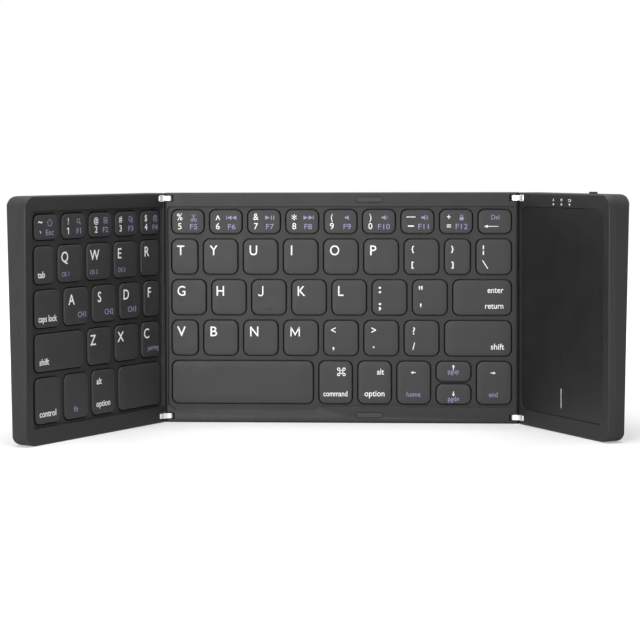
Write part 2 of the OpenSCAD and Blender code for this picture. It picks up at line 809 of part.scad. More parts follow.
chips = [[7, 7], [5, 5], [4, 6]]; // width and height of each, spread evenly along the board
chip_pitch = (board_s[1] - board_s[0]) / (len(chips) + 1);
light_z = panel_h - light_inset;
usb_x = half_w + usb_s;
switch_x = right_end - switch_inset;
switch_slot = [switch_x - knob_l / 2 - switch_travel - knob_gap, switch_x + knob_l / 2 + knob_gap];
switch_top = board_z[1] + 0.6; // upper face of the switch's fixed part
socket_z0 = panel_h - cover_wall + usb_lip - usb_deep;

function pad_outline(grow, r) =
    rounded(half_w + pad_s0 - grow, field_z0 - grow, half_w + pad_s1 + grow, field_z1 + grow, same(r, 4));

module lights(r, d0, d1) {
    for (i = [-1:1]) drill(half_w + pad_mid + light_shift + i * light_pitch, light_z, r, d0, d1);
}

module right_frame() {
    color([0.20, 0.20, 0.21]) on_wing(1) difference() {
        frame_blank(right_edge, right_end, [edge_r, front_round], right_corners);
        through(pad_outline(0, pad_r), -past, frame_d + past);
        through(pad_outline(pad_step, pad_step_r), pad_support_d, frame_d + past);
        magnet_seat(right_end - magnet_inset, magnet_l);
        screw_pilots(right_screws_x);
        lights(light_r + seat_gap, -past, frame_d + past);
        link_slot(right_pivot, -1);
        pins_at(right_pivot, pin_r + pin_fit, seat_gap);
    }
}

// The socket's and the switch's windows go through the cover's top wall
module top_window(x0, x1, t, r) {
    translate([0, 0, panel_h - cover_wall - past]) linear_extrude(cover_wall + 2 * past)
        polygon(rounded(x0, port_d - t / 2, x1, port_d + t / 2, same(r, 4)));
}

module board_posts() {
    for (x = [board_s[0] + post_inset, board_s[1] - post_inset],
         z = [board_z[0] + post_inset, board_z[1] - usb_deep - post_inset])
        drill(half_w + x, z, post_r, board_d + board_t + seat_gap, rear_t);
}

module right_back_cover() {
    color([0.18, 0.18, 0.19]) on_wing(1) difference() {
        cover_blank(right_edge, right_end, right_corners, [hinge_end_r, back_round]);
        difference() {
            cover_room(right_edge, right_end, right_corners);
            bosses(right_screws_x);
            board_posts();
        }
        cover_holes(right_screws_x, right_feet_x);
        link_slot(right_pivot, -1);
        ribbon_slot(right_edge, 1);
        top_window(usb_x - usb_w / 2 - window_gap, usb_x + usb_w / 2 + window_gap,
            usb_t + 2 * window_gap, usb_r);
        top_window(switch_slot[0], switch_slot[1], knob_t + 2 * knob_gap, least_r);
    }
}

module touchpad_plate() {
    x = half_w + pad_mid - click_line_w / 2;
    z = field_z0 + click_line_z;
    color([0.17, 0.17, 0.18]) on_wing(1) difference() {
        through(pad_outline(-pad_gap, pad_r - pad_gap), pad_drop, pad_circuit_d);
        box(x, x + click_line_w, 0, pad_drop + click_line_d, z, z + click_line);
    }
}

module touchpad_circuit() {
    color([0.10, 0.32, 0.20]) on_wing(1)
        through(pad_outline(-pad_circuit_inset, plate_r), pad_circuit_d + skin,
                pad_circuit_d + pad_circuit_t);
}

module touchpad_support_plate() {
    color([0.70, 0.71, 0.72]) on_wing(1)
        through(pad_outline(pad_step - play, pad_step_r - play), pad_support_d + skin, pad_support_back);
}

module battery() {
    d = pad_support_back + 2 * seat_gap;
    color([0.60, 0.62, 0.64]) on_wing(1)
        through(rounded(half_w + pad_s0 + battery_side, field_z0 + battery_foot,
                        half_w + pad_s1 - battery_side, board_z[0] - battery_gap, same(pouch_r, 4)),
                d, d + battery_t);
}

// Main board with its chips and the fixed part of the switch soldered on
module main_circuit_board() {
    color([0.08, 0.30, 0.18]) on_wing(1) {
        difference() {
            box(half_w + board_s[0], half_w + board_s[1], board_d, board_d + board_t, board_z[0], board_z[1]);
            box(usb_x - usb_w / 2 - play, usb_x + usb_w / 2 + play, 0, rear_t, socket_z0 - play, panel_h);
        }
        for (i = [0:len(chips) - 1]) let (x = half_w + board_s[0] + (i + 1) * chip_pitch, w = chips[i][0] / 2)
            box(x - w, x + w, board_d - chip_t, board_d + lap,
                board_z[0] + chip_z, board_z[0] + chip_z + chips[i][1]);
        box(switch_slot[0], switch_slot[1], port_d - switch_t / 2, port_d + switch_t / 2,
            switch_top - switch_h, switch_top);
    }
}

// Pressed steel shell with its tongue, open at the panel's top edge
module usb_socket() {
    w = usb_w / 2;
    t = usb_t / 2;
    r = usb_r - usb_wall;
    color("silver") on_wing(1) translate([usb_x, port_d, socket_z0]) {
        difference() {
            linear_extrude(usb_deep) polygon(rounded(-w, -t, w, t, [usb_wall, usb_wall, usb_r, usb_r]));
            translate([0, 0, usb_floor]) linear_extrude(usb_deep)
                polygon(rounded(usb_wall - w, usb_wall - t, w - usb_wall, t - usb_wall, [0, 0, r, r]));
        }
        translate([-w / 2, -usb_tongue / 2, usb_floor / 2]) cube([w, usb_tongue, usb_deep - 1.5 * usb_floor]);
    }
}

module indicator_lenses() {
    color("white") on_wing(1) lights(light_r, 0, frame_d);
}

module power_switch_knob() {
    x0 = switch_x - knob_l / 2;
    top = panel_h + knob_rise;
    color([0.15, 0.15, 0.16]) on_wing(1) difference() {
        union() {
            box(x0, x0 + knob_l, port_d - knob_t / 2, port_d + knob_t / 2, panel_h - cover_wall - 1, top);
            box(x0 - knob_flange, x0 + knob_l + knob_flange,
                port_d - knob_t / 2 - knob_flange, port_d + knob_t / 2 + knob_flange,
                switch_top + window_gap, panel_h - cover_wall - window_gap);
        }
        for (i = [1:3]) let (x = x0 + i * knob_l / 4 - knob_groove / 2)
            box(x, x + knob_groove, 0, rear_t, top - knob_groove_d, top + past);
    }
}

module right_magnets() {
    color("silver") on_wing(1) magnets(right_end - magnet_inset, magnet_l);
}

module right_feet() {
    color([0.12, 0.12, 0.12]) on_wing(1) feet(right_feet_x);
}

module right_screws() {
    color("silver") on_wing(1) screws(right_screws_x);
}

module right_hinge_pins() {
    color("silver") on_wing(1) pins_at(right_pivot, pin_r, 0);
}

module right_flex_ribbon() {
    color([0.85, 0.55, 0.20]) on_wing(1) flex_ribbon(right_edge + ribbon_end, right_edge + ribbon_l[1]);
}

// ---- keys ----

function chamfered(w, h, c) = [[0, c], [c, 0], [w - c, 0], [w, c], [w, h], [0, h]];

// Hollow cap with a chamfered top: outline, plan section and side section meet in one solid
module keycap(k) {
    w = k[2];
    h = k[3];
    c = cap_wall;
    translate([k[0], key_drop, k[1]]) difference() {
        intersection() {
            through(rounded(0, 0, w, h, same(key_r, 4)), 0, key_h);
            linear_extrude(h) polygon(chamfered(w, key_h, key_chamfer));
            along_x([for (p = chamfered(h, key_h, key_chamfer)) [p[1], p[0]]], 0, w);
        }
        through(rounded(c, c, w - c, h - c, same(key_r - cap_wall, 4)), cap_top, key_h + past);
    }
}

// Raised bar that the fingers find
module homing_bar(k) {
    translate([k[0] + (k[2] - homing_l) / 2, key_drop - homing_rise, k[1] + homing_z])
        cube([homing_l, 2 * homing_rise, homing_h]);
}

module centre_keys(keys) {
    color([0.33, 0.33, 0.34]) on_centre() for (k = keys) keycap(k);
}

module left_keys(keys) {
    color([0.24, 0.24, 0.25]) on_wing(-1) for (k = keys) keycap(k);
}

// The left wing's keys count from its hinge, the centre's from the left
module left_number_keys() left_keys(left_span(number_row, 0, len(left_rows[number_row]) - 1));
module tab_key() left_keys([last_left_key(top_row)]);
module left_top_letters() left_keys(left_but_last(top_row));
module caps_lock_key() left_keys([last_left_key(home_row)]);
module left_shift_key() left_keys([last_left_key(shift_row)]);
module left_bottom_letters() left_keys(left_but_last(shift_row));
module control_key() left_keys([left_key(bottom_row, 3)]);
module fn_key() left_keys([left_key(bottom_row, 2)]);
module left_alt_key() left_keys([left_key(bottom_row, 1)]);
module left_space_key() left_keys([left_key(bottom_row, 0)]);

module left_home_letters() {
    left_keys(left_but_last(home_row));
    color([0.24, 0.24, 0.25]) on_wing(-1) homing_bar(left_key(home_row, 0));
}

module centre_number_keys() centre_keys(centre_but_last(number_row));
module backspace_key() centre_keys([last_centre_key(number_row)]);
module centre_top_letters() centre_keys(centre_span(top_row, 0, len(centre_rows[top_row]) - 1));
module enter_key() centre_keys([last_centre_key(home_row)]);
module centre_bottom_letters() centre_keys(centre_but_last(shift_row));
module right_shift_key() centre_keys([last_centre_key(shift_row)]);
module space_bar() centre_keys([space]);
module command_key() centre_keys([centre_key(bottom_row, 1)]);
module right_alt_key() centre_keys([centre_key(bottom_row, 2)]);
module side_arrow_keys() centre_keys([for (i = [-1, 1]) centre_key(bottom_row, arrow_i + i)]);
module up_arrow_key() centre_keys([upper_half(arrows)]);
module down_arrow_key() centre_keys([lower_half(arrows)]);

module centre_home_letters() {
    centre_keys(centre_but_last(home_row));
    color([0.33, 0.33, 0.34]) on_centre() homing_bar(centre_key(home_row, 2));
}

centre_frame();
centre_back_cover();
centre_support_plate();
centre_dome_sheet();
centre_bumper_pads();
centre_magnets();
centre_feet();
centre_screws();
centre_hinge_pins();
left_hinge_links();
right_hinge_links();
left_frame();
left_back_cover();
left_support_plate();
left_dome_sheet();
left_magnets();
left_feet();
left_screws();
left_hinge_pins();
left_flex_ribbon();
right_frame();
right_back_cover();
touchpad_plate();
touchpad_circuit();
touchpad_support_plate();
battery();
main_circuit_board();
usb_socket();
indicator_lenses();
power_switch_knob();
right_magnets();
right_feet();
right_screws();
right_hinge_pins();
right_flex_ribbon();
left_number_keys();
tab_key();
left_top_letters();
caps_lock_key();
left_home_letters();
left_shift_key();
left_bottom_letters();
control_key();
fn_key();
left_alt_key();
left_space_key();
centre_number_keys();
backspace_key();
centre_top_letters();
centre_home_letters();
enter_key();
centre_bottom_letters();
right_shift_key();
space_bar();
command_key();
right_alt_key();
side_arrow_keys();
up_arrow_key();
down_arrow_key();
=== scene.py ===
import bmesh
import bpy
import json
import math
import numpy as np
from mathutils import Matrix

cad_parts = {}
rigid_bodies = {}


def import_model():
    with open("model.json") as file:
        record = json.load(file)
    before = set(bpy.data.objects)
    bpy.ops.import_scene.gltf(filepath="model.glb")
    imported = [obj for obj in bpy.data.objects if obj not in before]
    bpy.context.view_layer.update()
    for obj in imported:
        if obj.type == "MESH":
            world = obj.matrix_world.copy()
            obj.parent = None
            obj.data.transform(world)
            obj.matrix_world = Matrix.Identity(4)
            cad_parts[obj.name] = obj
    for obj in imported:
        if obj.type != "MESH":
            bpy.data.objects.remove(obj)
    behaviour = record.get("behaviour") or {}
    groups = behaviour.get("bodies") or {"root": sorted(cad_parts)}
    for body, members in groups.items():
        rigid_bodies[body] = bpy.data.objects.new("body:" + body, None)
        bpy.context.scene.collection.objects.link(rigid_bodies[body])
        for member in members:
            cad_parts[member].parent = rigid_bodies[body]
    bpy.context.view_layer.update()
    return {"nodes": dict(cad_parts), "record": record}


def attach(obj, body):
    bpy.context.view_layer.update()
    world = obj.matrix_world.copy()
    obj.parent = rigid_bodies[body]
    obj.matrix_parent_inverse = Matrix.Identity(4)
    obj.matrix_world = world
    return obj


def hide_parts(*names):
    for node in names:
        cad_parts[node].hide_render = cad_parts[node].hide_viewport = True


# A three-part folding keyboard. Every size below is in millimetres unless it says otherwise,
# and the meshes are turned into metres when they are put in place.
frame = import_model()
nodes = frame["nodes"]
record = frame["record"]
bodyOfNode = {node: body for body, members in record["behaviour"]["bodies"].items()
              for node in members}
slotOfNode = {part["node"]: part["material_slot"] for part in record["subparts"]}
millimetre = 0.001
weldDigits = 3  # points that agree to this many decimals of a millimetre are one point

panels = {
    "frontY": -3.9,       # front face of the centre panel
    "halfWidth": 76.1,    # from the middle of the centre panel to its hinge edge
    "pivotInset": 2.5,    # hinge pin in from the panel's edge
    "pivotDepth": 2.35,   # hinge pin behind the front face
    "linkSpan": 5.0,      # between the two pins of a link
    "fold": math.radians(59.2),
}


def panelPlace(side):
    # a turn about Z and a shift: from the flat drawing of a panel to where it stands; side is
    # -1 for the left wing, 0 for the centre and 1 for the right wing
    if side == 0:
        return np.eye(2), np.array([0.0, panels["frontY"]])
    half = panels["fold"] / 2
    near = np.array([side * (panels["halfWidth"] - panels["pivotInset"]),
                     panels["frontY"] + panels["pivotDepth"]])
    far = near + panels["linkSpan"] * np.array([side * math.cos(half), -math.sin(half)])
    a = -side * panels["fold"]
    turn = np.array([[math.cos(a), -math.sin(a)], [math.sin(a), math.cos(a)]])
    flat = np.array([side * (panels["halfWidth"] + panels["pivotInset"]), panels["pivotDepth"]])
    return turn, far - turn @ flat


def toWorld(points, side):
    # flat drawing to the row frame: turn x and depth, shift, then millimetres to metres
    turn, shift = panelPlace(side)
    placed = np.array(points, float)
    placed[:, :2] = placed[:, :2] @ turn.T + shift
    return placed * millimetre


def toFlat(points, side):
    # the way back: metres to millimetres, shift, then the turn undone
    turn, shift = panelPlace(side)
    flat = np.array(points, float) / millimetre
    flat[:, :2] = (flat[:, :2] - shift) @ turn
    return flat


def readOut(items, key, each, kind):
    # one array of what a mesh's points, edges or faces hold, a row for each
    values = np.empty(len(items) * each, kind)
    items.foreach_get(key, values)
    return values.reshape(-1, each)


def solidBoxes(name, side):
    # one box per solid of a CAD node in the flat drawing: [x0, x1, d0, d1, z0, z1]; points that
    # share an edge take the lowest label of the two until no label changes
    mesh = nodes[name].data
    flat = toFlat(readOut(mesh.vertices, "co", 3, np.float32), side)
    ends = readOut(mesh.edges, "vertices", 2, np.int32)
    welded = np.unique(np.round(flat, weldDigits), axis=0, return_inverse=True)[1].reshape(-1)
    label = np.arange(welded.max() + 1)
    a, b = welded[ends[:, 0]], welded[ends[:, 1]]
    while True:
        low = np.minimum(label[a], label[b])
        fresh = label.copy()
        np.minimum.at(fresh, a, low)
        np.minimum.at(fresh, b, low)
        if (fresh == label).all():
            break
        label = fresh
    boxes = []
    for tag in np.unique(label):
        p = flat[label[welded] == tag]
        boxes.append(np.column_stack([p.min(0), p.max(0)]).reshape(-1).tolist())
    return sorted(boxes)


def toLinear(hexColour):
    # sRGB to linear: c / 12.92 near black, ((c + 0.055) / 1.055) ^ 2.4 above
    c = np.array([int(hexColour[i:i + 2], 16) / 255 for i in (1, 3, 5)])
    lin = np.where(c <= 0.04045, c / 12.92, ((c + 0.055) / 1.055) ** 2.4)
    return (*lin.tolist(), 1.0)


def addNode(tree, kind, settings=None, links=None):
    # one node with its settings, and links from other nodes' outputs to its inputs
    node = tree.nodes.new(kind)
    for name, value in (settings or {}).items():
        if name in node.inputs or isinstance(name, int):
            node.inputs[name].default_value = value
        else:
            setattr(node, name, value)
    for name, source in (links or {}).items():
        tree.links.new(source, node.inputs[name])
    return node


def emptyTree(owner):
    # the node tree of a material or world, with nothing in it yet
    owner.use_nodes = True
    owner.node_tree.nodes.clear()
    return owner.node_tree


# how every finish is mixed: the two shades meet between these values of the noise, the roughness
# changes over a wider stretch of it, and the grain is pressed in at this strength
mixing = {"detail": 3.0, "roughness": 0.6, "shades": (0.35, 0.65), "gloss": (0.3, 0.7),
          "grainDetail": 2.0, "press": 0.5, "edgeSamples": 8}


def finishOf(name, recipe):
    # slow noise picks the shade and the roughness, fast noise is the grain, and moulded edges
    # are rounded for the light over the recipe's edge width
    material = bpy.data.materials.new(name)
    tree = emptyTree(material)
    place = addNode(tree, "ShaderNodeTexCoord").outputs["Object"]
    patches = addNode(tree, "ShaderNodeTexNoise",
                      {"Scale": 1 / (recipe["patch"] * millimetre), "Detail": mixing["detail"],
                       "Roughness": mixing["roughness"]}, {"Vector": place})
    tone = addNode(tree, "ShaderNodeValToRGB", links={"Fac": patches.outputs["Fac"]})
    for stop, position, shade in zip(tone.color_ramp.elements, mixing["shades"], recipe["shades"]):
        stop.position, stop.color = position, toLinear(shade)
    gloss = addNode(tree, "ShaderNodeMapRange",
                    {"From Min": mixing["gloss"][0], "From Max": mixing["gloss"][1],
                     "To Min": recipe["rough"][0], "To Max": recipe["rough"][1]},
                    {"Value": patches.outputs["Fac"]})
    grain = addNode(tree, "ShaderNodeTexNoise",
                    {"Scale": 1 / (recipe["grain"] * millimetre),
                     "Detail": mixing["grainDetail"]}, {"Vector": place})
    bump = addNode(tree, "ShaderNodeBump",
                   {"Strength": mixing["press"], "Distance": recipe["depth"] * millimetre},
                   {"Height": grain.outputs["Fac"]})
    if "edge" in recipe:
        edge = addNode(tree, "ShaderNodeBevel", {"samples": mixing["edgeSamples"],
                                                 "Radius": recipe["edge"] * millimetre})
        tree.links.new(edge.outputs["Normal"], bump.inputs["Normal"])
    shader = addNode(tree, "ShaderNodeBsdfPrincipled", recipe["sockets"],
                     {"Base Color": tone.outputs["Color"], "Roughness": gloss.outputs["Result"],
                      "Normal": bump.outputs["Normal"]})
    addNode(tree, "ShaderNodeOutputMaterial", links={"Surface": shader.outputs["BSDF"]})
    return material


# Each recipe: two near shades, the size of their patches, the span of the roughness, the grain
# and its depth, and what goes on the shader's own sockets. A real moulded or rolled grain is
# about 0.1 mm and is lost from this far, so the grains are drawn at 0.25 to 0.6 mm.
recipes = {
    # key tops: dark grey and matt from a spark-eroded mould, so lamps leave only a broad haze
    "moulded_abs_key_tops": {
        "shades": ("#2b2b2c", "#2e2e2f"), "patch": 6, "rough": (0.52, 0.6), "grain": 0.45,
        "depth": 0.012, "sockets": {"IOR": 1.5, "Specular IOR Level": 0.43}},
    # casing: the same plastic a shade darker, and its rounded edges catch a soft line of light
    "moulded_abs_casing": {
        "shades": ("#1f1f20", "#222223"), "patch": 9, "rough": (0.48, 0.56), "grain": 0.5,
        "depth": 0.012, "edge": 0.4, "sockets": {"IOR": 1.5, "Specular IOR Level": 0.38}},
    # back covers: lighter and duller, with an even grey that barely shines
    "moulded_abs_back_cover": {
        "shades": ("#38383a", "#3c3c3d"), "patch": 12, "rough": (0.46, 0.56), "grain": 0.6,
        "depth": 0.015, "sockets": {"IOR": 1.5, "Specular IOR Level": 0.1}},
    # touchpad: a coated sheet, smoother and darker than the casing round it
    "coated_polycarbonate_touchpad": {
        "shades": ("#1b1b1c", "#1e1e1f"), "patch": 14, "rough": (0.4, 0.46), "grain": 0.5,
        "depth": 0.004, "sockets": {"IOR": 1.58, "Specular IOR Level": 0.3}},
    # the sheet's cut edge: a chamfer, smoother than the sheet and painted far lighter, a painted
    # highlight that draws a thin light line
    "touchpad_edge_painted_highlight": {
        "shades": ("#4c4c4e", "#525254"), "patch": 3, "rough": (0.28, 0.34), "grain": 0.5,
        "depth": 0.003, "sockets": {"IOR": 1.58}},
    # links: stamped steel with satin nickel, near white and softly mirrored
    "satin_nickel_links": {
        "shades": ("#eeeeec", "#f6f6f4"), "patch": 1.6, "rough": (0.34, 0.46), "grain": 0.3,
        "depth": 0.006, "sockets": {"Metallic": 1.0}},
    # support plates and pins: mid-grey rolled steel with a mild sheen
    "rolled_spring_steel": {
        "shades": ("#8d8f92", "#9a9c9e"), "patch": 4, "rough": (0.3, 0.42), "grain": 0.4,
        "depth": 0.004, "sockets": {"Metallic": 1.0}},
    # dome sheets: cast silicone, a dull grey seen as a soft tone between the keys
    "cast_silicone_domes": {
        "shades": ("#565658", "#5e5e60"), "patch": 4, "rough": (0.55, 0.68), "grain": 0.5,
        "depth": 0.01, "sockets": {"IOR": 1.41}},
    # feet: moulded rubber, nearly black and chalky
    "moulded_rubber_feet": {
        "shades": ("#1d1d1e", "#232324"), "patch": 3, "rough": (0.7, 0.82), "grain": 0.4,
        "depth": 0.03, "sockets": {"IOR": 1.52}},
    # bumper pads: grey elastomer, duller than the bar they sit in
    "moulded_elastomer_pads": {
        "shades": ("#303031", "#353536"), "patch": 3, "rough": (0.6, 0.7), "grain": 0.4,
        "depth": 0.02, "sockets": {"IOR": 1.5}},
    # screws: black oxide on steel, dark with small sharp glints
    "black_oxide_screw_steel": {
        "shades": ("#3a3a3c", "#46464a"), "patch": 1.2, "rough": (0.35, 0.5), "grain": 0.25,
        "depth": 0.006, "sockets": {"Metallic": 1.0}},
    # magnets: plated nickel, warm and shiny
    "nickel_plated_magnets": {
        "shades": ("#b6b4ae", "#c4c2bb"), "patch": 2, "rough": (0.2, 0.3), "grain": 0.3,
        "depth": 0.004, "sockets": {"Metallic": 1.0}},
    # socket shell: stamped and tinned, paler and cooler than the magnets
    "stamped_tin_socket_shell": {
        "shades": ("#a9aaac", "#b8b9bb"), "patch": 1.5, "rough": (0.26, 0.38), "grain": 0.3,
        "depth": 0.004, "sockets": {"Metallic": 1.0}},
    # ribbons: polyimide film, amber and glossy
    "polyimide_ribbon": {
        "shades": ("#8a5520", "#9a6126"), "patch": 2, "rough": (0.3, 0.42), "grain": 0.4,
        "depth": 0.004, "sockets": {"IOR": 1.7}},
    # circuit boards: solder mask, a wet-looking deep green
    "green_solder_mask": {
        "shades": ("#14502c", "#1a5f36"), "patch": 2, "rough": (0.3, 0.42), "grain": 0.5,
        "depth": 0.01, "sockets": {"IOR": 1.55}},
    # battery: aluminised pouch, silvery with a crinkle whose real size is about 1.2
    "aluminised_battery_pouch": {
        "shades": ("#9c9fa2", "#abaeb1"), "patch": 5, "rough": (0.3, 0.42), "grain": 1.2,
        "depth": 0.02, "sockets": {"Metallic": 0.9}},
    # indicator lights: clear moulded pipes, which read as small pale dots
    "clear_light_pipes": {
        "shades": ("#e6e8ea", "#f0f1f2"), "patch": 0.6, "rough": (0.2, 0.3), "grain": 0.3,
        "depth": 0.004, "sockets": {"IOR": 1.49}},
    # switch knob: acetal, slightly waxier than the casing
    "moulded_acetal_knob": {
        "shades": ("#1f1f20", "#262627"), "patch": 1.5, "rough": (0.4, 0.5), "grain": 0.35,
        "depth": 0.01, "sockets": {"IOR": 1.48}},
    # legends: pad print, flat and opaque, in white and in blue-violet
    "white_pad_print": {
        "shades": ("#f4f4f4", "#fafafa"), "patch": 1, "rough": (0.5, 0.6), "grain": 0.3,
        "depth": 0.003, "sockets": {"IOR": 1.5}},
    "blue_pad_print": {
        "shades": ("#8b8eb2", "#979abb"), "patch": 1, "rough": (0.5, 0.6), "grain": 0.3,
        "depth": 0.003, "sockets": {"IOR": 1.5}},
}
finishes = {name: finishOf(name, recipe) for name, recipe in recipes.items()}
inks = {"whiteInk": finishes["white_pad_print"], "blueInk": finishes["blue_pad_print"]}
print("finishes mixed")

slotFinish = {
    "key_plastic": "moulded_abs_key_tops", "front_plastic": "moulded_abs_casing",
    "cover_plastic": "moulded_abs_back_cover",
    "touchpad_surface": "coated_polycarbonate_touchpad",
    "spring_steel": "rolled_spring_steel", "silicone": "cast_silicone_domes",
    "nickel": "nickel_plated_magnets", "rubber": "moulded_rubber_feet",
    "steel": "black_oxide_screw_steel", "hinge_metal": "satin_nickel_links",
    "ribbon_film": "polyimide_ribbon", "circuit_board": "green_solder_mask",
    "battery_foil": "aluminised_battery_pouch", "lens_plastic": "clear_light_pipes",
    "switch_plastic": "moulded_acetal_knob",
}
ownFinish = {"centre_bumper_pads": "moulded_elastomer_pads",
             "usb_socket": "stamped_tin_socket_shell"}


def nodeFinish(node):
    # the node's own finish where it has one, and otherwise that of its slot
    return finishes[ownFinish.get(node) or slotFinish[slotOfNode[node]]]


for name, part in nodes.items():
    part.data.materials.clear()
    part.data.materials.append(nodeFinish(name))
print("CAD nodes finished")


def putInScene(name, data):
    # a new object in the scene, at the origin, unturned and unscaled
    thing = bpy.data.objects.new(name, data)
    bpy.context.scene.collection.objects.link(thing)
    return thing


def smoothByAngle(piece, degrees):
    # edges sharper than the angle stay crisp
    piece.data.shade_smooth()
    piece.data.set_sharp_from_angle(angle=math.radians(degrees))


def addPiece(name, points, polygons, body, finish, smooth=True):
    # points in metres in the row frame; polygons is a list of arrays, each of one polygon size
    mesh = bpy.data.meshes.new(name)
    mesh.from_pydata(points.tolist(), [], [f for block in polygons for f in block.tolist()])
    mesh.materials.append(finish)
    mesh.update()
    piece = putInScene(name, mesh)
    mesh.shade_smooth() if smooth else mesh.shade_flat()
    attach(piece, body)
    return piece


def tubeFaces(count, around):
    # four-sided faces between count rings of points, each ring closed on itself
    i, j = np.meshgrid(np.arange(count - 1), np.arange(around), indexing="ij")
    nextJ = (j + 1) % around
    return np.stack([i * around + j, (i + 1) * around + j,
                     (i + 1) * around + nextJ, i * around + nextJ], -1).reshape(-1, 4)


# rigid pieces whose sharp edges get a small moulded radius, or a chamfer painted lighter as a
# highlight
softening = {
    "width": {
        "centre_frame": 0.28, "left_frame": 0.2, "right_frame": 0.28,
        "centre_back_cover": 0.16, "left_back_cover": 0.16, "right_back_cover": 0.16,
        "touchpad_plate": 0.3, "left_hinge_links": 0.15, "right_hinge_links": 0.15,
        "centre_bumper_pads": 0.12, "power_switch_knob": 0.1,
    },
    # the touchpad's chamfer is painted lighter than the sheet: a painted highlight along its edge
    "chamfer": {"touchpad_plate": "touchpad_edge_painted_highlight"},
    "weld": 1e-6,  # metres
    "flat": 0.4,   # degrees: flatter edges are dissolved,
    "sharp": 38,   # sharper ones bevelled,
    "crisp": 30,   # and those left sharper than this stay creased
}


def softCopy(node, width, edge):
    # a merged copy of a CAD node, bevelled along its sharp edges
    mesh = nodes[node].data.copy()
    work = bmesh.new()
    work.from_mesh(mesh)
    bmesh.ops.remove_doubles(work, verts=work.verts, dist=softening["weld"])
    bmesh.ops.dissolve_limit(work, angle_limit=math.radians(softening["flat"]),
                             verts=work.verts, edges=work.edges)
    work.to_mesh(mesh)
    work.free()
    mesh.materials.clear()
    mesh.materials.append(nodeFinish(node))
    piece = putInScene(node + "_moulded", mesh)
    bevel = piece.modifiers.new("moulded_radius", "BEVEL")
    bevel.width, bevel.segments = width * millimetre, 1 if edge else 2
    bevel.limit_method, bevel.angle_limit = "ANGLE", math.radians(softening["sharp"])
    bevel.use_clamp_overlap, bevel.harden_normals = True, True
    # the chamfer takes the second finish, whose lighter colour paints a highlight along the edge
    if edge:
        mesh.materials.append(finishes[edge])
        bevel.material = 1
    smoothByAngle(piece, softening["crisp"])
    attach(piece, bodyOfNode[node])
    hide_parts(node)


for node, width in softening["width"].items():
    softCopy(node, width, softening["chamfer"].get(node))
print("casings softened")


cap = {
    "corner": 2.6, "leastCorner": 0.05, "cornerSteps": 9,  # outline corners and points on each
    "topRings": (0.25, 0.6, 1.0),                          # rings on the top, as shares of it
    "fillet": 0.42, "edgeSteps": 5,                        # quarter round at the top's edge
    "dish": 0.05, "wall": 1.1, "skin": 0.9, "deep": 2.0,   # hollow in the top, walls and skirt
    "drop": 0.5,                                           # cap tops behind the casing's face
    "least": 5.0, "crisp": 50,                             # narrower solids are no caps; degrees
}
panelSide = {"left_wing": -1, "centre": 0, "right_wing": 1}
parentOf = {joint["child"]: joint["parent"] for joint in record["behaviour"]["joints"]}
keySide = {node: panelSide[parentOf[bodyOfNode[node]]]
           for node in nodes if slotOfNode.get(node) == "key_plastic"}


def roundedPath(w, h, inset):
    # the four corner arcs of a rounded rectangle w by h moved in by inset, anticlockwise, always
    # with the same count of points
    r = max(cap["corner"] - inset, cap["leastCorner"])
    a = np.linspace(0, math.pi / 2, cap["cornerSteps"])
    arcs = []
    for k, (cx, cz) in enumerate([(inset + r, inset + r), (w - inset - r, inset + r),
                                  (w - inset - r, h - inset - r), (inset + r, h - inset - r)]):
        turn = math.pi + k * math.pi / 2
        arcs.append(np.stack([cx + r * np.cos(a + turn), cz + r * np.sin(a + turn)], 1))
    return np.concatenate(arcs)


def capTop(x, z, w, h):
    # depth of the top face: a shallow dish, deepest in the middle, fading to nothing at the rim
    u, v = 2 * x / w - 1, 2 * z / h - 1
    return cap["dish"] * np.clip(1 - u * u, 0, 1) * np.clip(1 - v * v, 0, 1)


def capSurface(box):
    # rings from the middle of the top outwards: dished top, quarter round of inset f (1 - sin q)
    # and depth f (1 - cos q), skirt, rim and the hollow inside, with a fan at each end
    x0, x1, z0, z1 = *box[:2], *box[4:]
    w, h, f = x1 - x0, z1 - z0, cap["fillet"]
    middle = np.array([w / 2, h / 2])
    rings = []
    for share in cap["topRings"]:
        path = middle + (roundedPath(w, h, f) - middle) * share
        rings.append((path, capTop(path[:, 0], path[:, 1], w, h)))
    for q in np.linspace(0, math.pi / 2, cap["edgeSteps"])[1:]:
        rings.append((roundedPath(w, h, f * (1 - math.sin(q))), f * (1 - math.cos(q))))
    for inset, depth in ((0.0, "deep"), (cap["wall"], "deep"), (cap["wall"], "skin")):
        rings.append((roundedPath(w, h, inset), cap[depth]))
    count, around = len(rings), len(rings[0][0])
    points = [np.column_stack([path[:, 0], np.broadcast_to(depth, around), path[:, 1]])
              for path, depth in rings]
    top, under, last = count * around, count * around + 1, (count - 1) * around
    k = np.arange(around)
    fans = np.concatenate([
        np.stack([np.full(around, top), k, (k + 1) % around], 1),
        np.stack([np.full(around, under), last + (k + 1) % around, last + k], 1)])
    points = np.vstack(points + [[w / 2, cap["dish"], h / 2], [w / 2, cap["skin"], h / 2]])
    return points + [x0, cap["drop"], z0], tubeFaces(count, around), fans


def buildCaps(node):
    # all the caps of one node as one piece, each over its own solid
    points, quads, fans, start = [], [], [], 0
    boxes = [b for b in solidBoxes(node, keySide[node]) if b[1] - b[0] > cap["least"]]
    for box in boxes:
        p, q, f = capSurface(box)
        points.append(p)
        quads.append(q + start)
        fans.append(f + start)
        start += len(p)
    piece = addPiece(node + "_caps", toWorld(np.vstack(points), keySide[node]),
                     [np.vstack(quads), np.vstack(fans)], bodyOfNode[node], nodeFinish(node))
    smoothByAngle(piece, cap["crisp"])
    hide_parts(node)
    return boxes


capBoxes = {node: buildCaps(node) for node in keySide}
print("key caps built:", sum(len(boxes) for boxes in capBoxes.values()))


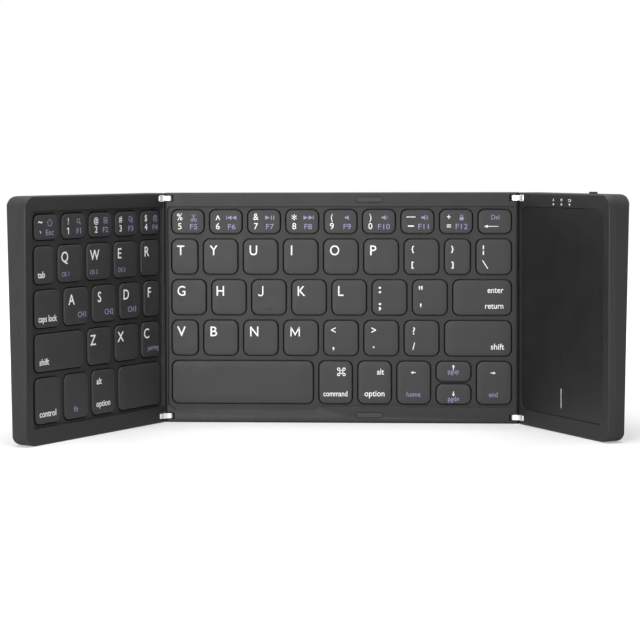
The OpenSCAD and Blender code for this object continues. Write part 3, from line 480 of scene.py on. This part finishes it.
homing = {
    "keys": {"left_home_letters": -1, "centre_home_letters": 2},  # which key of the row
    "length": 3.2, "halfHigh": 0.3, "proud": 0.2,
    "aboveEdge": 2.65,          # its middle above the key's lower edge
    "blunt": 0.4,               # below 1 the ends are blunter than an ellipse's
    "steps": 13, "around": 16,
}


def buildHomingBar(node, index):
    # a low capsule: elliptic rings along x whose size is sin t to the power blunt, so they close
    # to a point at both ends
    box = capBoxes[node][index]
    t = np.linspace(0, math.pi, homing["steps"])[:, None]
    a = np.linspace(0, 2 * math.pi, homing["around"] + 1)[None, :-1]
    swell = np.sin(t) ** homing["blunt"]
    x = (box[0] + box[1]) / 2 - homing["length"] / 2 * np.cos(t) + 0 * a
    depth = cap["drop"] - homing["proud"] * swell * np.sin(a)
    height = box[4] + homing["aboveEdge"] + homing["halfHigh"] * swell * np.cos(a)
    faces = tubeFaces(homing["steps"], homing["around"])[:, [0, 3, 2, 1]]
    addPiece(node + "_homing_bar",
             toWorld(np.stack([x, depth, height], -1).reshape(-1, 3), keySide[node]), [faces],
             bodyOfNode[node], nodeFinish(node))


for node, index in homing["keys"].items():
    buildHomingBar(node, index)
print("homing bars built")


ink = {
    "lift": 0.022, "under": 0.05,    # the print's face above the surface, and its back below
    "intoDish": 0.3,                 # print on a key lies this share of the dish below its rim
    "curveSteps": 3, "weld": 1e-5,   # at a letter size of 1
}
tiny = 1e-9  # keeps a division from zero, and tells a triangle with no area
pen = {"thin": 0.2, "bold": 0.4, "letter": 0.5, "knot": 0.3, "light": 0.16, "mast": 0.18,
       "leastLean": 0.5}  # widths of strokes, and the least cosine at a mitred corner


def wordShape(text, weight):
    # the built-in font as a flat net: points (u, v) at size 1 and triangles
    curve = bpy.data.curves.new("words", "FONT")
    curve.body, curve.size, curve.offset, curve.resolution_u = text, 1.0, weight, ink["curveSteps"]
    lettering = putInScene("words", curve)
    bpy.context.view_layer.update()
    seen = lettering.evaluated_get(bpy.context.evaluated_depsgraph_get())
    mesh = bpy.data.meshes.new_from_object(seen)
    work = bmesh.new()
    work.from_mesh(mesh)
    bmesh.ops.remove_doubles(work, verts=work.verts, dist=ink["weld"])
    bmesh.ops.triangulate(work, faces=work.faces)
    work.to_mesh(mesh)
    work.free()
    net = readOut(mesh.vertices, "co", 3, np.float32)[:, :2].astype(float)
    tris = readOut(mesh.polygons, "vertices", 3, np.int32)
    bpy.data.objects.remove(lettering)
    bpy.data.meshes.remove(mesh)
    return net, tris


capitalSize = np.ptp(wordShape("H", 0.0)[0][:, 1])


def words(text, x, z, height, align, squeeze, weight):
    # x and z give the baseline's left end, middle or right end; height is that of a capital
    net, tris = wordShape(text, weight)
    net = net * (height / capitalSize)
    net[:, 0] = (net[:, 0] - net[:, 0].min()) * squeeze
    width = net[:, 0].max()
    net[:, 0] += x - {"left": 0, "middle": width / 2, "right": width}[align]
    net[:, 1] += z
    return net, tris


def stroke(points, width=pen["thin"], closed=False):
    # a band of one width along a line of points: each point moves both ways along the mean of its
    # two sides' normals, by half the width over the cosine between them
    p = np.array(points, float)
    ahead = np.roll(p, -1, 0) - p
    ahead /= np.maximum(np.linalg.norm(ahead, axis=1, keepdims=True), tiny)
    behind = np.roll(ahead, 1, 0)
    if not closed:
        ahead[-1], behind[0] = behind[-1], ahead[0]
    across = np.stack([-ahead[:, 1], ahead[:, 0]], 1)
    normal = np.stack([-(ahead + behind)[:, 1], (ahead + behind)[:, 0]], 1)
    normal /= np.maximum(np.linalg.norm(normal, axis=1, keepdims=True), tiny)
    reach = width / 2 / np.maximum(np.abs((normal * across).sum(1)), pen["leastLean"])
    n = len(p)
    k = np.arange(n if closed else n - 1)
    k2 = (k + 1) % n
    tris = np.concatenate([np.stack([n + k, n + k2, k2], 1), np.stack([n + k, k2, k], 1)])
    return np.vstack([p + normal * reach[:, None], p - normal * reach[:, None]]), tris


def filled(points):
    # a convex outline as a fan of triangles, anticlockwise
    p = np.array(points, float)
    n = len(p)
    area = (p[:, 0] * np.roll(p[:, 1], -1) - np.roll(p[:, 0], -1) * p[:, 1]).sum()
    p = p if area > 0 else p[::-1]
    k = np.arange(1, n - 1)
    return p, np.stack([np.zeros(n - 2, int), k, k + 1], 1)


def corners(x0, x1, z0, z1):
    # a rectangle's corners, anticlockwise from the lower left
    return [(x0, z0), (x1, z0), (x1, z1), (x0, z1)]


def bar(x0, x1, z0, z1):
    # a filled rectangle
    return filled(corners(x0, x1, z0, z1))


def outline(x0, x1, z0, z1, width=pen["thin"]):
    # a rectangle drawn as a closed line
    return stroke(corners(x0, x1, z0, z1), width, True)


def ringPoints(cx, cz, r, start=0.0, end=360.0, count=20):
    # points at even angles along an arc; a full turn leaves out its last, which is the first again
    a = np.radians(np.linspace(start, end, count, endpoint=abs(end - start) < 360))
    return np.stack([cx + r * np.cos(a), cz + r * np.sin(a)], 1)


def arch(before, arc, after, width):
    # a line that goes from one point round an arc to another
    return stroke(np.vstack([[before], arc, [after]]), width)


def mirrored(shapes, x, z):
    # x or z of -1 turns the shapes over along that axis
    return [(net * [x, z], tris) for net, tris in shapes]


knot = {"half": 0.55, "loop": 0.45, "steps": 10}  # a square with a loop out of each corner


def knotLoop(x, z, start):
    # three quarters of a turn clockwise round (x, z), out of the square's corner and back to it
    corner = (knot["half"] * x, knot["half"] * z)
    arc = ringPoints(x, z, knot["loop"], start, start - 270, knot["steps"])
    return arch(corner, arc, corner, pen["knot"])


# small generic signs, each a list of flat shapes about (0, 0)
signs = {
    "house": [stroke([(-1.5, 0.1), (0, 1.2), (1.5, 0.1), (0.95, 0.1), (0.95, -1.1),
                      (-0.95, -1.1), (-0.95, 0.1)], closed=True)],
    "lens": [stroke(ringPoints(-0.2, 0.25, 0.75), closed=True),
             stroke([(0.35, -0.3), (1.15, -1.1)], pen["thin"] * 1.4)],
    "all": [outline(-0.9, 0.9, -1.0, 1.0), stroke([(-0.5, -0.55), (0, 0.6), (0.5, -0.55)]),
            stroke([(-0.35, -0.2), (0.35, -0.2)])],
    "copy": [outline(-1.0, 0.3, -0.4, 1.1),
             stroke([(0.3, 0.4), (1.0, 0.4), (1.0, -1.1), (-0.3, -1.1), (-0.3, -0.4)])],
    "paste": [outline(-0.9, 0.9, -1.1, 0.8), bar(-0.4, 0.4, 0.6, 1.15),
              stroke([(-0.5, 0.1), (0.5, 0.1)]), stroke([(-0.5, -0.5), (0.5, -0.5)])],
    "scissors": [stroke([(-0.6, 1.2), (0.35, -0.45)]), stroke([(0.6, 1.2), (-0.35, -0.45)]),
                 stroke(ringPoints(0.6, -0.8, 0.4), closed=True),
                 stroke(ringPoints(-0.6, -0.8, 0.4), closed=True)],
    "next": [bar(1.85, 2.1, -0.75, 0.75), filled([(1.8, 0), (0.1, 0.8), (0.1, -0.8)]),
             filled([(-0.1, 0), (-1.8, 0.8), (-1.8, -0.8)])],
    "play": [filled([(-1.8, -0.8), (0, 0), (-1.8, 0.8)]), bar(0.4, 0.75, -0.8, 0.8),
             bar(1.3, 1.65, -0.8, 0.8)],
    "horn": [bar(-0.9, -0.2, -0.35, 0.35),
             filled([(-0.2, -0.35), (0.6, -0.95), (0.6, 0.95), (-0.2, 0.35)])],
    "padlock": [bar(-0.75, 0.75, -1.0, 0.15),
                arch((-0.48, 0.1), ringPoints(0, 0.5, 0.48, 180, 0, 9), (0.48, 0.1), pen["thin"])],
    "tilde": [stroke([(-1.0, -0.25), (-0.7, 0.15), (-0.35, 0.25), (0.1, 0.0), (0.5, -0.2),
                      (0.85, -0.1), (1.05, 0.25)], pen["bold"])],
    "backquote": [filled([(-0.35, 0.55), (0.1, 0.45), (0.5, -0.5), (0.25, -0.55)])],
    "flagOne": [stroke([(-0.75, 0.7), (0.1, 1.1), (0.1, -1.35)], pen["bold"])],
    "letterM": [stroke([(-1.75, -2.05), (-1.75, 1.75)], pen["letter"]),
                stroke([(1.75, -2.05), (1.75, 1.75)], pen["letter"]),
                stroke([(-1.82, 1.95), (0, -1.35), (1.82, 1.95)], pen["letter"])],
    "letterJ": [stroke(np.vstack([[(0.75, 2.05)], ringPoints(-0.2, -1.1, 0.95, 0, -165, 12)]),
                       pen["letter"])],
    "dash": [bar(-1.75, 1.75, -0.16, 0.16)],
    "hyphen": [bar(-1.3, 1.3, -0.28, 0.28)],
    "brokenBar": [bar(-0.25, 0.25, 0.3, 2.0), bar(-0.25, 0.25, -2.0, -0.3)],
    "backslash": [filled([(-1.3, 1.75), (-0.85, 1.75), (1.3, -1.75), (0.85, -1.75)])],
    "longArrow": [bar(-1.4, 3.1, -0.13, 0.13), filled([(-3.1, 0), (-1.4, -0.62), (-1.4, 0.62)])],
    "left": [bar(-0.1, 1.1, -0.17, 0.17), filled([(-1.1, 0), (0, -0.6), (0, 0.6)])],
    "up": [bar(-0.17, 0.17, -1.05, 0.1), filled([(0, 1.05), (-0.6, 0), (0.6, 0)])],
    "knot": [outline(-knot["half"], knot["half"], -knot["half"], knot["half"], pen["knot"]),
             knotLoop(1, 1, 180), knotLoop(-1, 1, -90), knotLoop(-1, -1, 0), knotLoop(1, -1, 90)],
    "aerial": [stroke([(0, -0.6), (0, 0.2)], pen["mast"]), filled(ringPoints(0, 0.25, 0.22)),
               stroke(ringPoints(0, 0.25, 0.55, -50, 50, 7), pen["light"]),
               stroke(ringPoints(0, 0.25, 0.55, 130, 230, 7), pen["light"])],
    "battery": [outline(-0.8, 0.8, -0.4, 0.4, pen["light"]), bar(0.88, 1.1, -0.18, 0.18)],
}
signs["hornOne"] = signs["horn"] + [stroke(ringPoints(0.5, 0, 0.75, -45, 45, 7))]
signs["hornTwo"] = signs["hornOne"] + [stroke(ringPoints(0.5, 0, 1.2, -50, 50, 9))]
signs["previous"] = mirrored(signs["next"], -1, 1)
signs["right"] = mirrored(signs["left"], -1, 1)
signs["down"] = mirrored(signs["up"], 1, -1)


def sign(name, x, z, scale=1.0):
    # a small sign scaled about its middle and moved to (x, z)
    return [(net * scale + [x, z], tris) for net, tris in signs[name]]


# how each kind of word is set: where x is, how far it is squeezed and how much bolder it is made.
# The first letter of a kind is its ink, w for white or b for blue; ws and bs are signs.
styles = {
    "w": ("middle", 0.9, 0.007), "wDigit": ("middle", 1.0, 0.007), "wDot": ("middle", 1.15, 0.025),
    "wLeft": ("left", 0.9, 0.006), "wWider": ("left", 1.0, 0.006), "wWord": ("left", 0.9, 0.008),
    "wTight": ("left", 0.78, 0.008), "wRight": ("right", 0.88, 0.008),
    "wWide": ("right", 0.96, 0.008), "wLight": ("middle", 0.9, 0.006),
    "b": ("middle", 0.9, 0.0), "bThin": ("middle", 1.15, 0.0), "bWord": ("left", 0.9, 0.0),
    "bMiddle": ("middle", 0.86, 0.0),
}
letterPrint = {"low": 6.65, "size": 4.1, "wide": "BPV"}  # baseline below the key's top edge
numberPrint = {"signLow": 3.05, "signSize": 1.1, "underSignLow": 6.9, "digitLow": 8.2,
               "digitSize": 2.6, "cornerLow": 3.3, "functionLow": 8.2, "functionSize": 2.2}


def letterAt(text, x):
    # one capital whose left edge is x from the key's; B, P and V are set wider
    kind = "wWider" if text in letterPrint["wide"] else "wLeft"
    return [(kind, text, x, letterPrint["low"], letterPrint["size"])]


def numberKey(above, below, cornerSign, function, x=3.45, x2=9.4, size=2.5, cornerSize=1.1,
              low=4.3):
    # two white items on the left at x, a blue sign and its function name on the right at x2
    at = numberPrint
    upper = (("ws", above, x, at["signLow"], at["signSize"]) if above in signs
             else ("w", above, x, low, size))
    lower = (("ws", below, x, at["underSignLow"], 1.0) if below in signs
             else ("wDigit", below, x, at["digitLow"], at["digitSize"]))
    return [upper, lower, ("bs", cornerSign, x2, at["cornerLow"], cornerSize),
            ("bThin", function, x2, at["functionLow"], at["functionSize"])]


# for each node a list of keys, and on each key a list of items: kind, text or sign, x from the
# left edge, z from the top edge, and size. A negative x counts from the right edge and a
# negative z from the bottom edge.
legends = {
    "left_number_keys": [
        numberKey("tilde", "backquote", "house", "Esc", 3.4, 8.9),
        numberKey("!", "flagOne", "lens", "F1", 3.45, 9.7),
        numberKey("@", "2", "all", "F2", 4.0, 9.8, size=2.2),
        numberKey("#", "3", "copy", "F3", 3.0, 9.5),
        numberKey("$", "4", "paste", "F4", 3.15, 9.25)],
    "tab_key": [[("wWord", "tab", 1.75, -2.4, 2.5)]],
    "left_top_letters": [
        letterAt("Q", 1.7) + [("bWord", "OS 1", 1.9, -2.3, 1.8)],
        letterAt("W", 1.8) + [("bWord", "OS 2", 1.8, -2.3, 1.8)],
        letterAt("E", 2.1) + [("bWord", "OS 3", 2.1, -2.3, 1.8)],
        letterAt("R", 2.3)],
    "caps_lock_key": [[("wTight", "caps lock", 2.0, -2.3, 2.5)]],
    "left_home_letters": [
        letterAt("A", 2.45) + [("bWord", "CH1", 8.0, -2.7, 2.2)],
        letterAt("S", 3.1) + [("bWord", "CH2", 7.4, -2.7, 2.2)],
        letterAt("D", 2.25) + [("bWord", "CH3", 5.1, -2.7, 2.2)],
        letterAt("F", 2.4)],
    "left_shift_key": [[("wWord", "shift", 2.4, -2.6, 2.5)]],
    "left_bottom_letters": [
        letterAt("Z", 1.35), letterAt("X", 1.3),
        letterAt("C", 1.3) + [("bWord", "pairing", 3.9, -2.9, 2.0)]],
    "control_key": [[("wWord", "control", 2.3, -2.75, 2.5)]],
    "fn_key": [[("bWord", "fn", 5.4, -2.8, 2.4)]],
    "left_alt_key": [[("wWord", "alt", 2.6, 5.6, 2.5), ("wWord", "option", 2.4, -3.2, 2.5)]],
    "centre_number_keys": [
        numberKey("%", "5", "scissors", "F5", size=2.8, cornerSize=1.25),
        numberKey("^", "6", "previous", "F6", size=3.4, low=5.7),
        numberKey("&", "7", "play", "F7", size=2.8),
        numberKey("*", "8", "next", "F8", size=3.9, low=6.0),
        numberKey("(", "9", "horn", "F9", 3.2, 9.7),
        numberKey(")", "0", "hornOne", "F10", 3.2, 9.0),
        numberKey("dash", "hyphen", "hornTwo", "F11", 4.1, 9.4),
        numberKey("+", "=", "padlock", "F12", 3.8, 9.2)],
    "backspace_key": [[("b", "Del", 7.1, 4.15, 2.0), ("ws", "longArrow", 5.35, 7.05, 1.0)]],
    "centre_top_letters": [
        letterAt("T", 2.2), letterAt("Y", 2.6), letterAt("U", 2.6), letterAt("I", 3.1),
        letterAt("O", 2.6), letterAt("P", 2.6),
        [("wDot", "{", 3.5, 5.0, 2.1), ("wDot", "[", 3.5, 11.6, 2.1)],
        [("wDot", "}", 3.2, 5.0, 2.1), ("wDot", "]", 3.2, 11.6, 2.1)],
        [("ws", "brokenBar", 2.95, 4.5, 1.0), ("ws", "backslash", 3.7, 10.6, 1.0)]],
    "centre_home_letters": [
        letterAt("G", 2.3), letterAt("H", 2.0), [("ws", "letterJ", 3.9, 4.6, 1.0)],
        letterAt("K", 2.45), letterAt("L", 2.55),
        [("wDot", ":", 3.2, 5.3, 3.6), ("wDot", ";", 3.2, 12.2, 3.6)],
        [("wDigit", "\"", 3.4, 6.7, 4.0), ("wDigit", "'", 3.4, 14.1, 4.0)]],
    "enter_key": [[("wRight", "enter", -3.3, 5.3, 2.4), ("wRight", "return", -3.3, -2.7, 2.4)]],
    "centre_bottom_letters": [
        letterAt("V", 2.1), letterAt("B", 2.8), letterAt("N", 2.7),
        [("ws", "letterM", 4.8, 4.6, 1.0)],
        [("w", "<", 4.0, 5.5, 3.1), ("w", ",", 4.0, 11.9, 4.0)],
        [("w", ">", 4.0, 5.5, 3.1), ("w", ".", 4.0, 11.5, 4.0)],
        [("wDigit", "?", 4.0, 5.7, 3.0), ("w", "/", 3.9, 12.2, 3.0)]],
    "right_shift_key": [[("wWide", "shift", -3.0, -2.7, 2.4)]],
    "command_key": [[("ws", "knot", 9.45, 4.4, 1.15), ("wTight", "command", 1.8, -3.15, 2.3)]],
    "right_alt_key": [[("wRight", "alt", -3.0, 5.5, 2.4), ("wWord", "option", 2.7, -3.2, 2.5)]],
    "side_arrow_keys": [
        [("ws", "left", 6.8, 4.6, 1.0), ("bMiddle", "home", 6.9, -3.1, 2.1)],
        [("ws", "right", 6.9, 4.7, 1.0), ("bMiddle", "end", 6.9, -3.1, 2.1)]],
    "up_arrow_key": [[("ws", "up", 7.2, 2.3, 1.05), ("bMiddle", "pgup", 7.2, 5.0, 2.0)]],
    "down_arrow_key": [[("ws", "down", 7.2, 4.1, 1.05), ("bMiddle", "pgdn", 7.2, 7.1, 2.0)]],
}


def flatItem(item, box):
    # the flat shapes of one item, moved to its place on the key
    kind, what, x, z, size = item
    x = box[0] + x if x >= 0 else box[1] + x
    z = box[5] - z if z >= 0 else box[4] - z
    if kind in ("ws", "bs"):
        return sign(what, x, z, size)
    return [words(what, x, z, size, *styles[kind])]


def printSheet(name, shapes, depth, node, side, finish):
    # each flat shape becomes a closed sheet of ink: a face just proud of the surface, a back just
    # under it and a wall along every edge that only one triangle uses
    points, blocks, start = [], [], 0
    for net, tris in shapes:
        area = np.cross(net[tris[:, 1]] - net[tris[:, 0]], net[tris[:, 2]] - net[tris[:, 0]])
        tris = np.where((area < 0)[:, None], tris[:, ::-1], tris)[np.abs(area) > tiny]
        n = len(net)
        for level in (depth - ink["lift"], depth + ink["under"]):
            points.append(np.column_stack([net[:, 0], np.full(n, level), net[:, 1]]))
        ends = np.concatenate([tris[:, [0, 1]], tris[:, [1, 2]], tris[:, [2, 0]]])
        keys = ends[:, 0] * n + ends[:, 1]
        rim = ends[~np.isin(keys, ends[:, 1] * n + ends[:, 0])]
        walls = np.stack([rim[:, 1], rim[:, 0], rim[:, 0] + n, rim[:, 1] + n], 1)
        blocks += [tris + start, tris[:, ::-1] + n + start, walls + start]
        start += 2 * n
    addPiece(name, toWorld(np.vstack(points), side), blocks, bodyOfNode[node], inks[finish],
             smooth=False)


def printKeys(node):
    # one sheet for each ink that a node's keys carry
    layers = {"w": [], "b": []}
    for items, box in zip(legends[node], capBoxes[node]):
        for item in items:
            layers[item[0][0]] += flatItem(item, box)
    for tone, finish in (("w", "whiteInk"), ("b", "blueInk")):
        if layers[tone]:
            printSheet(node + "_" + finish, layers[tone],
                       cap["drop"] + cap["dish"] * ink["intoDish"], node, keySide[node], finish)


for node in legends:
    printKeys(node)
print("legends printed")


lightPrint = {"above": 1.7, "letterDrop": 0.55, "letterSize": 1.15}
clickLine = {"width": 0.24, "length": 8, "fromEdge": 3.3}


def printLightSigns():
    # the letter A, an aerial and a battery, each above its own light
    shapes = []
    for box, name in zip(solidBoxes("indicator_lenses", 1), ("A", "aerial", "battery")):
        x, z = (box[0] + box[1]) / 2, (box[4] + box[5]) / 2 + lightPrint["above"]
        if name in signs:
            shapes += sign(name, x, z)
        else:
            shapes.append(words(name, x, z - lightPrint["letterDrop"], lightPrint["letterSize"],
                                *styles["wLight"]))
    printSheet("light_signs_whiteInk", shapes, 0.0, "right_frame", 1, "whiteInk")


def paintClickLine():
    # a painted line between left and right click, upright above the plate's lower edge
    box = solidBoxes("touchpad_plate", 1)[0]
    x, z = (box[0] + box[1]) / 2, box[4] + clickLine["fromEdge"]
    half = clickLine["width"] / 2
    printSheet("click_line_paint", [bar(x - half, x + half, z, z + clickLine["length"])], box[2],
               "touchpad_plate", 1, "whiteInk")


printLightSigns()
paintClickLine()
print("light signs and click line printed")


def lookedPast(tree):
    # 1 for a ray from the camera, or one that glass or a mirror passes on, and 0 for the rest
    path = addNode(tree, "ShaderNodeLightPath")
    found = path.outputs["Is Camera Ray"]
    for ray in ("Is Transmission Ray", "Is Glossy Ray"):
        found = addNode(tree, "ShaderNodeMath", {"operation": "MAXIMUM"},
                        {0: found, 1: path.outputs[ray]}).outputs[0]
    return found


paleStudio = {
    "reach": 6.0, "mottle": 6.0, "mottleDetail": 2.0,  # metres each way, and patches per metre
    "shades": ("#e8e8e8", "#ebebeb"),
    "shadow": 0.63,                      # what the floor seen by the camera adds under the lamps
    # the glow is dimmer near the middle: painted shade round the object, on top of its real shadow
    "near": (0.1, 0.25), "far": (0.3, 1.0),  # metres from the middle, and the glow there
}


def paleFloor():
    # pale studio floor: camera and mirror rays see a white that keeps the shadow, and the object
    # gets the bounce of an ordinary pale floor; the glow rises with the distance from the middle,
    # so a painted shade darkens the floor round the object on top of its real shadow
    material = bpy.data.materials.new("pale_studio_floor")
    tree = emptyTree(material)
    place = addNode(tree, "ShaderNodeTexCoord").outputs["Object"]
    mottle = addNode(tree, "ShaderNodeTexNoise", {"Scale": paleStudio["mottle"],
                                                  "Detail": paleStudio["mottleDetail"]},
                     {"Vector": place})
    tone = addNode(tree, "ShaderNodeValToRGB", links={"Fac": mottle.outputs["Fac"]})
    for stop, shade in zip(tone.color_ramp.elements, paleStudio["shades"]):
        stop.color = toLinear(shade)
    plain = addNode(tree, "ShaderNodeBsdfDiffuse", links={"Color": tone.outputs["Color"]})
    grey = paleStudio["shadow"]
    shade = addNode(tree, "ShaderNodeBsdfDiffuse", {"Color": (grey, grey, grey, 1)})
    away = addNode(tree, "ShaderNodeVectorMath", {"operation": "LENGTH"}, {0: place})
    # glow dimmed near the object and full further out: painted shade round the object
    rise = addNode(tree, "ShaderNodeMapRange",
                   {"From Min": paleStudio["near"][0], "From Max": paleStudio["far"][0],
                    "To Min": paleStudio["near"][1], "To Max": paleStudio["far"][1]},
                   {"Value": away.outputs["Value"]})
    glow = addNode(tree, "ShaderNodeEmission", {"Color": (1, 1, 1, 1)},
                   {"Strength": rise.outputs["Result"]})
    seen = addNode(tree, "ShaderNodeAddShader",
                   links={0: shade.outputs["BSDF"], 1: glow.outputs["Emission"]})
    mixed = addNode(tree, "ShaderNodeMixShader",
                    links={0: lookedPast(tree), 1: plain.outputs["BSDF"],
                           2: seen.outputs["Shader"]})
    addNode(tree, "ShaderNodeOutputMaterial", links={"Surface": mixed.outputs["Shader"]})
    mesh = bpy.data.meshes.new("studio_floor")
    reach = paleStudio["reach"]
    mesh.from_pydata([(x, y, 0) for x, y in corners(-reach, reach, -reach, reach)], [],
                     [(0, 1, 2, 3)])
    mesh.materials.append(material)
    floor = putInScene("studio_floor", mesh)


studio = {"air": 0.01, "lamps": {
    # name: where it stands and what it looks at in metres, its size in metres, power in watts
    "front_left_box": ((-0.38, -0.75, 0.3), (-0.03, 0.0, 0.05), (0.4, 0.35), 2.7),
    "overhead_box": ((0.0, -0.15, 1.3), (0.0, 0.0, 0.0), (1.2, 1.0), 21.5),
    "low_left_box": ((-0.25, -0.95, 0.12), (0.0, 0.0, 0.05), (0.25, 0.2), 2.2),
}}


def studioAir():
    # soft light from all round, and plain white where the camera or a mirror looks past the object
    world = bpy.data.worlds.new("studio_air")
    bpy.context.scene.world = world
    tree = emptyTree(world)
    soft, white = [addNode(tree, "ShaderNodeBackground", {"Color": (1, 1, 1, 1), "Strength": s})
                   for s in (studio["air"], 1.0)]
    mixed = addNode(tree, "ShaderNodeMixShader",
                    links={0: lookedPast(tree), 1: soft.outputs["Background"],
                           2: white.outputs["Background"]})
    addNode(tree, "ShaderNodeOutputWorld", links={"Surface": mixed.outputs["Shader"]})


def lookMatrix(look, roll=0.0):
    # columns: right, up and back of something that looks along look, turned by roll about that line
    back = -np.array(look, float) / np.linalg.norm(look)
    right = np.cross([0, 0, 1], back)
    right /= np.linalg.norm(right)
    up = np.cross(back, right)
    r = right * math.cos(roll) + up * math.sin(roll)
    u = up * math.cos(roll) - right * math.sin(roll)
    return Matrix(np.column_stack([r, u, back]).tolist()).to_4x4()


def hangLamps():
    # each soft box is a lit rectangle turned to what it looks at
    for name, (place, aim, size, watts) in studio["lamps"].items():
        lamp = bpy.data.lights.new(name, "AREA")
        lamp.shape, lamp.size, lamp.size_y, lamp.energy = "RECTANGLE", *size, watts
        look = np.array(aim) - np.array(place)
        putInScene(name, lamp).matrix_world = Matrix.Translation(place) @ lookMatrix(look)


# a long lens held nearly level a little above the panels, turned 3 degrees to the left and
# shifted down, which keeps upright edges upright; angles in degrees, the place in metres
lensView = {"sensor": 36.0, "lens": 103.1, "shift": -0.1623, "left": 3.142, "down": 1.688,
            "roll": -0.15, "place": (0.03386, -0.77996, 0.11096)}


def standCamera():
    # it looks along (-sin yaw cos down, cos yaw cos down, -sin down)
    lens = bpy.data.cameras.new("camera")
    lens.sensor_width, lens.lens, lens.shift_y = [lensView[k] for k in ("sensor", "lens", "shift")]
    camera = putInScene("camera", lens)
    yaw, down, roll = [math.radians(lensView[k]) for k in ("left", "down", "roll")]
    look = [-math.sin(yaw) * math.cos(down), math.cos(yaw) * math.cos(down), -math.sin(down)]
    camera.matrix_world = Matrix.Translation(lensView["place"]) @ lookMatrix(look, roll)
    bpy.context.scene.camera = camera


paleFloor()
studioAir()
hangLamps()
standCamera()
bpy.context.scene.view_settings.view_transform = "Standard"
print("studio set")
